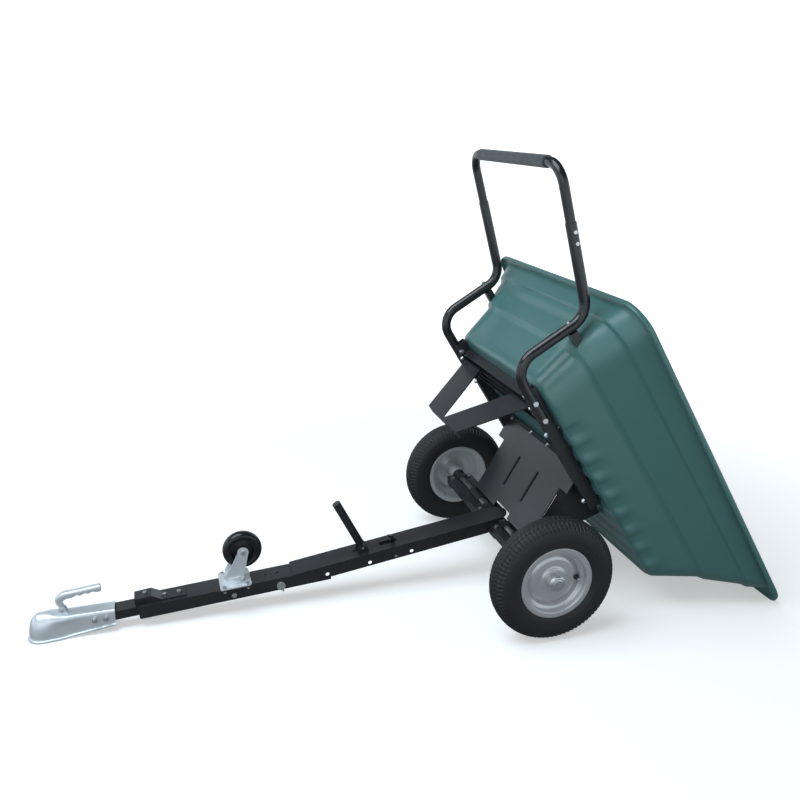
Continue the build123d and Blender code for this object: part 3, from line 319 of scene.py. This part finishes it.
PIN_GREY = finish("pin_grey", (0.30, 0.31, 0.31), (0.40, 0.41, 0.41), 0.55, blotch=40.0, bump=0.2)
AXLE_STEEL = finish("axle_steel", (0.24, 0.25, 0.26), (0.34, 0.35, 0.36), 0.42, metal=1.0, dust=0.03, blotch=30.0,
                    grain=800.0, bump=0.15)
MATERIALS = {m.name: m for m in (TUB_GREEN, BLACK_FRAME, BLACK_HANDLE, ZINC, BOLT_ZINC, RIM_SILVER, TYRE_RUBBER,
                                 CASTER_RUBBER, FOAM, PIN_GREY, AXLE_STEEL)}
print("materials", sorted(MATERIALS))


# %% [markdown]
# ## Painting the plain pieces
# The frame's record already says which finish each steel piece has. The pieces that stay as they are, such as
# channels, bars, straps and bolts, only get that material.

# %% Finishes on the carried-over pieces
SLOTS = {row["node"]: row["material_slot"] for row in frame["record"]["subparts"]}
for node, piece in frame["nodes"].items():
    piece.data.materials.clear()
    piece.data.materials.append(MATERIALS[SLOTS[node]])
print("painted", len(SLOTS), "pieces")


# %% [markdown]
# ## The tub
# The real tub is one rotational or blow moulding. Its walls lean out and step out twice, which stiffens them, the
# front wall has a wide sunk panel between its corners, and flutes run across the floor and fade up the side walls.
# The rim rolls out and down. All of it is one outline, a rectangle with round corners, that grows with height, so
# rings of that outline are the natural way to build it: outer skin up, over the rim, and inner skin down.

# %% Outline of the tub at one height
SIDE_STEPS, END_STEPS, CORNER_STEPS = 100, 44, 12
LEDGES = (430.0, 538.0)
LEDGE_STEP = 9.0


LIP_CORNERS, WALL_CORNERS = (98.0, 62.0), (104.0, 72.0)     # at the front and the rear of the tub
# The walls without their ledges: height, front, rear, half width at the front and at the rear.
WALLS = ((280.0, -530.0, 278.0, 352.0, 430.0), (430.0, -563.0, 392.0, 376.0, 455.0),
         (538.0, -587.0, 491.5, 437.0, 479.0), (610.0, -603.0, 554.0, 482.0, 486.0))


def tapered(ends, halves, corners):
    """Closed outline in (u, y), narrower in front, always with the same points in the same order."""
    lean = atan2(halves[1] - halves[0], ends[1] - ends[0])
    slant = degrees(lean)
    (u0, u1), (r0, r1) = ends, corners
    mid0 = halves[0] + r0 * (sin(lean) - 1) / cos(lean)
    mid1 = halves[1] - r1 * (sin(lean) + 1) / cos(lean)
    arcs = [(u0 + r0, -mid0, r0, 180, 270 - slant), (u1 - r1, -mid1, r1, 270 - slant, 360),
            (u1 - r1, mid1, r1, 0, 90 + slant), (u0 + r0, mid0, r0, 90 + slant, 180)]
    out = []
    for index, (cu, cy, r, start, stop) in enumerate(arcs):
        for k in range(CORNER_STEPS + 1):
            a = radians(start + (stop - start) * k / CORNER_STEPS)
            out.append(Vector((cu + r * cos(a), cy + r * sin(a))))
        cu, cy, r, start, stop = arcs[(index + 1) % 4]
        a = radians(start)
        begin, end = out[-1].copy(), Vector((cu + r * cos(a), cy + r * sin(a)))
        steps = SIDE_STEPS if index % 2 == 0 else END_STEPS
        for k in range(1, steps):
            out.append(begin.lerp(end, k / steps))
    return out


def steps_below(v):
    """How far both ledges have pushed the wall out at height v, with small rounded shoulders."""
    return sum(LEDGE_STEP * ramp(v, ledge - 3, ledge + 3) for ledge in LEDGES)


def wall_at(v):
    """Front, rear and the two half widths of the wall at height v, without its ledges."""
    for low, high in zip(WALLS, WALLS[1:]):
        if v <= high[0] or high is WALLS[-1]:
            share = (v - low[0]) / (high[0] - low[0])
            return [a + (b - a) * share for a, b in zip(low[1:], high[1:])]


def wall_outline(v, inset):
    """Outline of the wall at height v, moved in by inset."""
    front, rear, front_half, rear_half = wall_at(v)
    step = steps_below(v)
    out = step - inset
    return tapered((front - out, rear + step * 0.5 - inset), (front_half + out, rear_half + out),
                   [r - inset for r in WALL_CORNERS])


def flute(u):
    """Depth of the flutes across the floor, from 0 to 1, along the tub."""
    if not -375 < u < 285:
        return 0.0
    t = ((u + 375) / 73.3) % 1.0
    return ramp(t, 0.08, 0.22) * (1 - ramp(t, 0.55, 0.92))


def dents(points, v, inset):
    """Sink the front panel and the flutes into an outline at height v."""
    out = []
    fade = (1 - ramp(v, TUB_FLOOR + 6, TUB_FLOOR + 78)) ** 1.4
    panel = (1 - ramp(v, 498, 522)) * ramp(v, TUB_FLOOR + 4, TUB_FLOOR + 40)
    for p in points:
        u, y = p
        side = ramp(abs(y), 300, 350)
        if side:
            y -= (8.0 if y > 0 else -8.0) * flute(u) * fade * side
        if u < -380:
            u += 8.0 * panel * (1 - ramp(abs(y), 268, 300))
        out.append(Vector((u, y)))
    return out


# %% Rings from the floor over the rim and back down
def skin(inset, top):
    """Rings of one skin, from the middle of the floor to height top, each point in the tub's own frame."""
    floor = TUB_FLOOR + inset
    edge = 16.0 - inset * 0.5
    rings = []
    base = wall_outline(floor, inset)
    ends, floor_half = wall_at(TUB_FLOOR)[:2], wall_at(TUB_FLOOR)[2:]
    for k in range(26, 0, -1):
        share = k / 26
        ring = []
        for p in base:
            heart = Vector((max(-160.0, min(10.0, p.x)), 0.0))
            q = p.lerp(heart, share * (1 - 0.04) + 0.04)
            edge_y = floor_half[0] + (floor_half[1] - floor_half[0]) * (q.x - ends[0]) / (ends[1] - ends[0])
            sunk = 7.0 * flute(q.x) * ramp(edge_y - abs(q.y), 4, 20)
            ring.append((q.x, q.y, floor + sunk))
        rings.append(ring)
    heights = [floor + edge * (1 - cos(a)) for a in (radians(d) for d in (12, 30, 50, 70, 90))]
    for number, v in enumerate(heights):
        a = radians((12, 30, 50, 70, 90)[number])
        ring = dents(wall_outline(v, inset + edge * (1 - sin(a))), v, inset)
        rings.append([(p.x, p.y, v) for p in ring])
    v = floor + edge
    while v < top - 4:
        v += 3.0 if any(abs(v - ledge) < 7 for ledge in LEDGES) else 9.0
        rings.append([(p.x, p.y, v) for p in dents(wall_outline(v, inset), v, inset)])
    return rings


def rim_rings(outer_top, inner_top):
    """Rolled rim: out under the lip, round its edge, over the top and into the tub."""
    lip = tapered((TUB_FRONT, RIM_REAR), (TUB_WIDTH / 2, TUB_WIDTH / 2), LIP_CORNERS)
    wall = [Vector(p[:2]) for p in outer_top]
    inner = [Vector(p[:2]) for p in inner_top]
    out = []

    def ring(source, share, inset, v):
        row = []
        for a, b in zip(source, lip):
            b = Vector(b)
            middle = Vector(((TUB_FRONT + RIM_REAR) / 2, 0))
            b = b + (middle - b).normalized() * inset
            p = a.lerp(b, share)
            row.append((p.x, p.y, v))
        out.append(row)

    for share, inset, v in ((0.12, 0, 602.5), (0.3, 0, 604.5), (0.7, 0, 604), (1.0, 9, 602.5), (1.0, 6.5, 600),
                            (1.0, 5.5, 594), (1.0, 4.2, 592.3), (1.0, 2.2, 592), (1.0, 0.4, 593.5),
                            (1.0, 0, 597), (1.0, 0.3, 602), (1.0, 2.2, 606.6), (1.0, 6, 609.4)):
        ring(wall, share, inset, v)
    for share, inset, v in ((0.8, 0, 610), (0.35, 0, 610), (0.12, 0, 608.6), (0.02, 0, 604)):
        ring(inner, share, inset, v)
    return out


def build_tub():
    outer = skin(0.0, 600.0)
    inner = skin(TUB_WALL, 602.0)
    rings = outer + rim_rings(outer[-1], inner[-1]) + list(reversed(inner))
    points, faces = joined_rings([[in_tub(*p) for p in ring] for ring in rings])
    return new_piece("tub_moulding", points, faces, TUB_GREEN, "tub", 40, ["tub_shell"])


TUB = build_tub()
print("tub", len(TUB.data.vertices), "points")


# %% [markdown]
# ## Tyres
# A garden cart tyre has a round section with small tread blocks that run over its shoulders. The carcass is one
# profile turned round the axle. The tread could be a bump in the material, but the blocks show on the tyre's
# outline, so they are cut by moving the points of the crown in, groove by groove.

# %% Tread and sidewall
TREAD_PITCHES = 84
TYRE_STEPS = TREAD_PITCHES * 8


def carcass_radius(a):
    """(radius, width) on the outside of the tyre; a runs from one flange to the other, -1 to 1."""
    swing = a * radians(133)
    sharp = 0.86
    r = 154.0 + 49.0 * (abs(cos(swing)) ** sharp) * (1 if cos(swing) > 0 else -1)
    w = 50.0 * (abs(sin(swing)) ** sharp) * (1 if sin(swing) > 0 else -1)
    return r, w


def groove(r, w, turn):
    """How deep the tread is cut here, in millimetres."""
    t = turn * TREAD_PITCHES
    deep = 0.0
    centre = abs(abs(w) - 9.0 - 2.0 * sin(2 * pi * t))
    deep = max(deep, 3.4 * (1 - ramp(centre, 1.2, 2.6)))
    second = abs(abs(w) - 23.0 - 2.2 * sin(2 * pi * (t + 0.5)))
    deep = max(deep, 3.2 * (1 - ramp(second, 1.2, 2.6)))
    if abs(w) > 23:
        phase = (t + abs(w) * 0.012 + (0.5 if w > 0 else 0)) % 1.0
        lug = ramp(phase, 0.0, 0.1) * (1 - ramp(phase, 0.30, 0.44))
        deep = max(deep, 3.6 * lug * (1 - ramp(203 - r, 19, 26)))
    return deep


def build_tyre(side, name):
    middle = AXLE + Vector((0, side * TRACK_HALF, 0)) * MM
    outside = [carcass_radius(-1 + 2 * k / 76) for k in range(77)]
    ribs = {5: 0.8, 7: 1.2, 12: 0.8, 64: 0.8, 69: 1.2, 71: 0.8}
    bead = [(114.0, 36.6), (103.0, 36.4), (102.0, 34.0), (102.0, 30.0), (106.0, 29.0), (118.0, 30.0)]
    inside = [(154 + (r - 154) * 0.80, w * 0.80) for r, w in reversed(outside[6:-6])]
    foot = [(r, -w) for r, w in reversed(bead)]
    profile = outside + bead + inside + foot
    rings = []
    for i in range(TYRE_STEPS):
        a = 2 * pi * i / TYRE_STEPS
        ring = []
        for k, (r, w) in enumerate(profile):
            if k < len(outside):
                r -= groove(r, w, i / TYRE_STEPS) if r > 172 else 0
                w += (1 if w > 0 else -1) * ribs.get(k, 0)
            ring.append(middle + Vector((r * cos(a), side * w, r * sin(a))) * MM)
        rings.append(ring)
    points, faces = joined_rings(rings, close=True)
    return new_piece(name + "_tyre_treaded", points, faces, TYRE_RUBBER, name + "_wheel", 30, [name + "_tyre"])


for side, name in ((-1, "left"), (1, "right")):
    tyre = build_tyre(side, name)
    print(tyre.name, len(tyre.data.vertices), "points")


# %% [markdown]
# ## Rims
# The rims are pressed sheet: a rolled flange, a bead seat, a deep well and a dished disc with rings pressed into
# it. Turned profiles with eased corners give the soft edges of pressed and painted sheet, which catch the light
# in rings. The hub cap, a small pressed cup, and the valve go in the same way.

# %% Rim, hub cap and valve
BARREL = [(118, 37.2), (119.4, 38.6), (118.6, 40.6), (116, 41), (103, 40.4), (100.4, 38), (99.2, 26), (97, 23),
          (88, 19), (86.6, 16), (86.6, -16), (88, -19), (97, -23), (99.2, -26), (100.4, -38), (103, -40.4),
          (116, -41), (118.6, -40.6), (119.4, -38.6), (118, -37.2), (106, -37), (102.6, -35), (102, -25), (99, -21),
          (91, -16.6), (89.4, -14), (89.4, 14), (91, 16.6), (99, 21), (102, 25), (102.6, 35), (106, 37)]
DISC = [(87.4, 5), (82, 7), (76, 11.4), (68, 14.4), (54, 15.2), (46, 15.6), (41.6, 18), (37.6, 20.6),
        (27, 21.4), (27, 18.4), (36.4, 17.6), (40.4, 15), (45, 12.6), (54, 12.2), (67, 11.4), (75, 8.4),
        (81, 4), (87.4, 2)]
HUB = [(27, -44), (27, 40), (25.6, 41), (23.5, 40), (23.5, -43), (25, -44.4)]
CAP = [(23.5, 39), (27, 39.2), (27.4, 42.4), (25, 44), (24.4, 46.6), (21, 48.2), (16.4, 48.6), (15, 49.6), (8, 50),
       (0.01, 50), (0.01, 47.6), (15, 47.4), (20, 45.8), (22.4, 43)]
VALVE_R, VALVE_TURN = 78.0, radians(-2)


def build_rim(side, name):
    middle = AXLE + Vector((0, side * TRACK_HALF, 0)) * MM
    body = name + "_wheel"
    points, faces = [], []
    for profile in (BARREL, DISC, HUB):
        more, quads = turned(eased(profile, 1.6, 2), side, middle, 112)
        start = len(points)
        points += more
        faces += [tuple(i + start for i in quad) for quad in quads]
    new_piece(name + "_rim_pressed", points, faces, RIM_SILVER, body, 40, [name + "_rim"])
    points, faces = turned(eased(CAP, 0.8, 2), side, middle, 64)
    new_piece(name + "_hub_cap_pressed", points, faces, BOLT_ZINC, body, 40, [name + "_hub_cap"])
    stem = middle + Vector((VALVE_R * cos(VALVE_TURN), 0, VALVE_R * sin(VALVE_TURN))) * MM
    rubber = [(0.01, 13), (8.2, 13), (8.2, 18), (6.0, 20), (5.2, 28), (4.0, 29), (0.01, 29)]
    brass = [(0.01, 28), (3.4, 28), (3.4, 31), (4.4, 31), (4.4, 35.2), (3.6, 36), (0.01, 36)]
    points, faces = turned(eased(rubber, 0.6, 2), side, stem, 24)
    new_piece(name + "_valve_stem", points, faces, CASTER_RUBBER, body, 40, [name + "_valve"])
    points, faces = turned(eased(brass, 0.4, 2), side, stem, 24)
    new_piece(name + "_valve_tip", points, faces, BOLT_ZINC, body, 40)


for side, name in ((-1, "left"), (1, "right")):
    build_rim(side, name)
print("rims done")


# %% [markdown]
# ## Coupler and its handle
# The coupler is deep drawn sheet: a round dome over the ball that runs out into a square trough, with a flange left
# all round its lower edge. Its cross section goes from a half circle to a box, and a superellipse does that with one
# exponent. The handle is a casting, thick at the bend and waved underneath for the fingers, made of rounded
# sections along a bent line. Both are swept here, so that the two shapes can change all along their length.

# %% Drawn coupler
BALL_X, COUPLER_REAR, COUPLER_LOW, COUPLER_TOP = -1540.0, -1318.0, -201.0, -128.0
RAMP_AT, COUPLER_CLIMB, HEAD_R, REAR_HALF = BALL_X + 60.0, 20.0, 40.0, 31.0
TUBE_FRONT = COUPLER_REAR - 85.0
WALL_STEPS = 15


def coupler_section(x):
    """Outer line from the flange up to the middle of the top, then the inner line; each is (half width, height)."""
    rear = ramp(x, BALL_X, BALL_X + 110)
    low = COUPLER_LOW + COUPLER_CLIMB * max(0.0, (x - RAMP_AT) / (COUPLER_REAR - RAMP_AT))
    top = COUPLER_TOP + 10.0 * (1 - ramp(abs(x - BALL_X - 10), 6, 62))
    half = HEAD_R + (REAR_HALF - HEAD_R) * rear
    power = 2 / (2.3 + 6.5 * rear)
    outer = [(half + 6.8, low), (half + 6.8, low + 3.4), (half + 1.4, low + 3.8)]
    pressed = 2.4 * ramp(x, BALL_X + 30, BALL_X + 70) * (1 - ramp(x, TUBE_FRONT - 30, TUBE_FRONT - 4))
    for k in range(WALL_STEPS + 1):
        a = radians(90 * k / WALL_STEPS)
        y, z = half * max(cos(a), 0) ** power, low + 5 + (top - low - 5) * sin(a) ** power
        middle = ramp(z, low + 10, low + 22) * (1 - ramp(z, top - 26, top - 14))
        outer.append((y - pressed * middle, z))
    wall = 2.0 + 1.4 * (1 - rear)
    inner = [(max(y - wall, 0.0), min(z, top - wall)) for y, z in outer[3:]]
    return outer, [(inner[0][0], low)] + inner


def build_coupler():
    stations = []
    for k in range(29):
        x = COUPLER_REAR + (BALL_X - COUPLER_REAR) * k / 28
        stations.append([(x, 0.0, 0.0, 1.0, line) for line in coupler_section(x)])
    head = coupler_section(BALL_X)
    turns = [[(BALL_X, -sin(a), 0.0, cos(a), line) for line in head] for a in (pi * k / 24 for k in range(1, 24))]
    rows = stations + turns + [[(x, ux, 0.0, -uy, line) for x, ux, _, uy, line in row] for row in reversed(stations)]
    points, faces = [], []
    for row in rows:
        for x, ux, _, uy, line in row:
            points += [from_axle(x + ux * y, uy * y, z) for y, z in line]
    outer, inner = len(head[0]), len(head[1])
    count = outer + inner
    for i in range(len(rows) - 1):
        a, b = i * count, (i + 1) * count
        for k in [k for k in range(count - 1) if k != outer - 1]:
            faces.append((a + k, a + k + 1, b + k + 1, b + k))
        faces.append((a + outer, a, b, b + outer))
    for a in (0, (len(rows) - 1) * count):
        for k in range(2, outer - 1):
            faces.append((a + k, a + k + 1, a + outer + k - 1, a + outer + k - 2))
        faces.append((a, a + 1, a + 2, a + outer))
    return new_piece("coupler_drawn", points, faces, ZINC, "drawbar_front", 45, ["coupler_body"])


print(build_coupler().name)

# %% Cast handle of the coupler
LEVER = Vector((BALL_X + 66.0, 0.0, -116.0))
# Middle line of the casting from its pin, then its thickness and its width there.
LEVER_LINE = ((1, -8, 13, 14), (0, 0, 17, 15), (-3, 13, 18, 16), (-7, 26, 22, 22), (-4, 39, 26, 25),
              (10, 48, 26, 26), (34, 51, 24, 26), (72, 55, 23, 26), (104, 58, 24, 26), (120, 59.5, 23, 25))


def build_lever():
    rings = []
    steps = 8
    for i in range((len(LEVER_LINE) - 1) * steps + 1):
        number, t = min(i // steps, len(LEVER_LINE) - 2), i / steps - min(i // steps, len(LEVER_LINE) - 2)
        near = [Vector(LEVER_LINE[max(0, min(len(LEVER_LINE) - 1, number + k))]) for k in (-1, 0, 1, 2)]
        here = 0.5 * (2 * near[1] + (near[2] - near[0]) * t + (2 * near[0] - 5 * near[1] + 4 * near[2] - near[3]) * t ** 2
                      + (3 * near[1] - near[0] - 3 * near[2] + near[3]) * t ** 3)
        along = (near[2] - near[1]).to_3d()
        along = Vector((along.x, 0, along.y)).normalized()
        across = Vector((-along.z, 0, along.x))
        waved = 2.2 * (1 - cos((here[0] - 34) * 2 * pi / 24)) * ramp(here[0], 28, 44) * (1 - ramp(here[0], 100, 112))
        ring = []
        for k in range(24):
            a = 2 * pi * k / 24
            c, d = cos(a), sin(a)
            up = abs(d) ** 0.6 * (1 if d > 0 else -1) * here[2] / 2
            side = abs(c) ** 0.6 * (1 if c > 0 else -1) * here[3] / 2
            up += waved if d < -0.2 else 0
            ring.append(from_axle(*(LEVER + Vector((here[0], side, here[1])) + across * up)))
        rings.append(ring)
    points, faces = joined_rings(rings)
    faces += [tuple(reversed(range(24))), tuple(range(len(points) - 24, len(points)))]
    return new_piece("coupler_handle_cast", points, faces, ZINC, "coupler_handle", 50, ["coupler_lever"])


print(build_lever().name)


# %% [markdown]
# ## Caster wheel
# A hard rubber tyre with a round tread is moulded on the wheel centre and shines where it is polished by rolling.
# It is turned from one eased profile, about the middle of the plain tread that it replaces.

# %% Round caster tread
def build_caster_tread():
    plain = frame["nodes"]["caster_tread"]
    corners = [plain.matrix_world @ Vector(c) for c in plain.bound_box]
    middle = sum(corners, Vector()) / 8
    profile = [(44, -15.5), (47, -18.2), (52, -18.5), (58, -16.5), (62.2, -11), (64, -4), (64, 4), (62.2, 11),
               (58, 16.5), (52, 18.5), (47, 18.2), (44, 15.5)]
    points, faces = turned(eased(profile, 3.0, 3), 1, middle, 72)
    return new_piece("caster_tread_round", points, faces, CASTER_RUBBER, "caster_roller", 50, ["caster_tread"])


print(build_caster_tread().name)


# %% [markdown]
# ## Foam grip
# A closed cell foam sleeve is pushed over the cross tube. It is soft, so it swells a little between its ends,
# bunches in faint rings, and its ends roll in. The rings come from a few slow waves along its length; a
# simulation would add nothing to a sleeve that is stretched tight on a tube.

# %% Foam grip
HANDLE_KNEE, HANDLE_FRONT, HANDLE_RISE, GRIP_U = 517.0, -623.0, radians(16.2), -1060.0
GRIP_V = HANDLE_KNEE + (HANDLE_FRONT - GRIP_U) * sin(HANDLE_RISE) / cos(HANDLE_RISE)
GRIP_HALF = 262.0


def build_grip():
    centre = in_tub(GRIP_U, 0, GRIP_V)
    profile = []
    for k in range(121):
        y = -GRIP_HALF + 2 * GRIP_HALF * k / 120
        end = GRIP_HALF - abs(y)
        r = 15.2 + 3.7 * (ramp(end, -1, 7)) ** 0.5 + 0.18 * sin(y * 0.11) + 0.10 * sin(y * 0.37 + 1.0)
        profile.append((min(r, 19.0), y))
    profile += [(14.95, GRIP_HALF - 1), (14.95, -GRIP_HALF + 1)]
    points, faces = turned(profile, 1, centre, 48)
    grip = new_piece("foam_grip_sleeve", points, faces, FOAM, "handle_top", 60, ["foam_grip"])
    return grip


print(build_grip().name)


# %% [markdown]
# ## Stage, light and camera
# A pale floor that curves up all round hides the horizon from every side. A wide soft lamp above and ahead of the
# cart gives the bluish tops and the soft shadow, and a weaker one keeps the near side readable.

# %% Floor, lamps and camera
def stage_finish():
    """White to the eye like a lit studio sweep, dimmer near the cart, where its shadow lies. The cart is lit by
    it, and shows it in its gloss, as if the near floor were grey."""
    made = finish("floor_white", (0.86, 0.86, 0.86), (0.88, 0.88, 0.88), 0.9, blotch=1.0, bump=0.0,
                  Emission_Color=(1.0, 1.0, 1.0, 1.0))
    tree = made.node_tree
    far = tree.nodes.new("ShaderNodeMapRange")
    far.interpolation_type = "SMOOTHSTEP"
    far.inputs["From Min"].default_value, far.inputs["From Max"].default_value = 1.3, 4.0
    reach = tree.nodes.new("ShaderNodeVectorMath")
    reach.operation = "LENGTH"
    tree.links.new(tree.nodes.new("ShaderNodeNewGeometry").outputs["Position"], reach.inputs[0])
    tree.links.new(reach.outputs["Value"], far.inputs["Value"])

    def share(near_value, far_value):
        rise = math_node(tree, "MULTIPLY", far.outputs["Result"], far_value - near_value)
        return math_node(tree, "ADD", rise, near_value)

    shader = tree.nodes["Principled BSDF"]
    tree.links.new(share(0.42, 0.95), shader.inputs["Emission Strength"])
    lit = tree.nodes.new("ShaderNodeEmission")
    lit.inputs["Color"].default_value = (0.84, 0.93, 1.0, 1.0)
    tree.links.new(share(0.20, 0.95), lit.inputs["Strength"])
    choice = tree.nodes.new("ShaderNodeMixShader")
    tree.links.new(tree.nodes.new("ShaderNodeLightPath").outputs["Is Camera Ray"], choice.inputs[0])
    tree.links.new(lit.outputs[0], choice.inputs[1])
    tree.links.new(shader.outputs[0], choice.inputs[2])
    tree.links.new(choice.outputs[0], tree.nodes["Material Output"].inputs["Surface"])
    return made


def build_floor():
    profile = [(0.0, 0.0)] + [(r, 0.0) for r in (3.0, 5.0, 9.0)]
    profile += [(9.0 + 4.0 * sin(radians(a)), 4.0 - 4.0 * cos(radians(a))) for a in range(10, 91, 10)]
    profile += [(13.0, 6.2)]
    points, faces = [], []
    steps, count = 64, len(profile)
    for i in range(steps):
        a = 2 * pi * i / steps
        points += [(r * cos(a), r * sin(a), z) for r, z in profile]
        for k in range(count - 1):
            j = (i + 1) % steps
            faces.append((i * count + k, j * count + k, j * count + k + 1, i * count + k + 1))
    mesh = bpy.data.meshes.new("floor")
    mesh.from_pydata(points, [], faces)
    mesh.shade_smooth()
    floor = bpy.data.objects.new("floor", mesh)
    bpy.context.collection.objects.link(floor)
    mesh.materials.append(stage_finish())
    return floor


def lamp(name, power, size, place, target, colour):
    data = bpy.data.lights.new(name, "AREA")
    data.energy, data.size, data.color = power, size, colour
    light = bpy.data.objects.new(name, data)
    bpy.context.collection.objects.link(light)
    light.location = place
    light.rotation_euler = (Vector(target) - Vector(place)).to_track_quat("-Z", "Y").to_euler()


build_floor()
lamp("sky_lamp", 215, 4.0, (-2.2, -0.4, 4.8), (0.1, 0, 0.4), (0.80, 0.92, 1.0))
lamp("side_lamp", 18, 3.0, (-2.6, -4.6, 2.6), (0.2, 0, 0.5), (1.0, 0.98, 0.95))
world = bpy.data.worlds.new("soft_world")
world.use_nodes = True
world.node_tree.nodes["Background"].inputs["Color"].default_value = (0.93, 0.96, 1.0, 1.0)
world.node_tree.nodes["Background"].inputs["Strength"].default_value = 0.12
bpy.context.scene.world = world
bpy.context.scene.view_settings.view_transform = "Standard"

camera = bpy.data.objects.new("camera", bpy.data.cameras.new("camera"))
bpy.context.collection.objects.link(camera)
camera.location = (-0.7384, -2.5580, 1.5608)
camera.rotation_euler = (pi / 2 - 0.3193, 0.0, -0.2872)
camera.data.lens, camera.data.sensor_width = 38.37, 36.0
camera.data.clip_end = 100.0
bpy.context.scene.camera = camera
print("camera set")
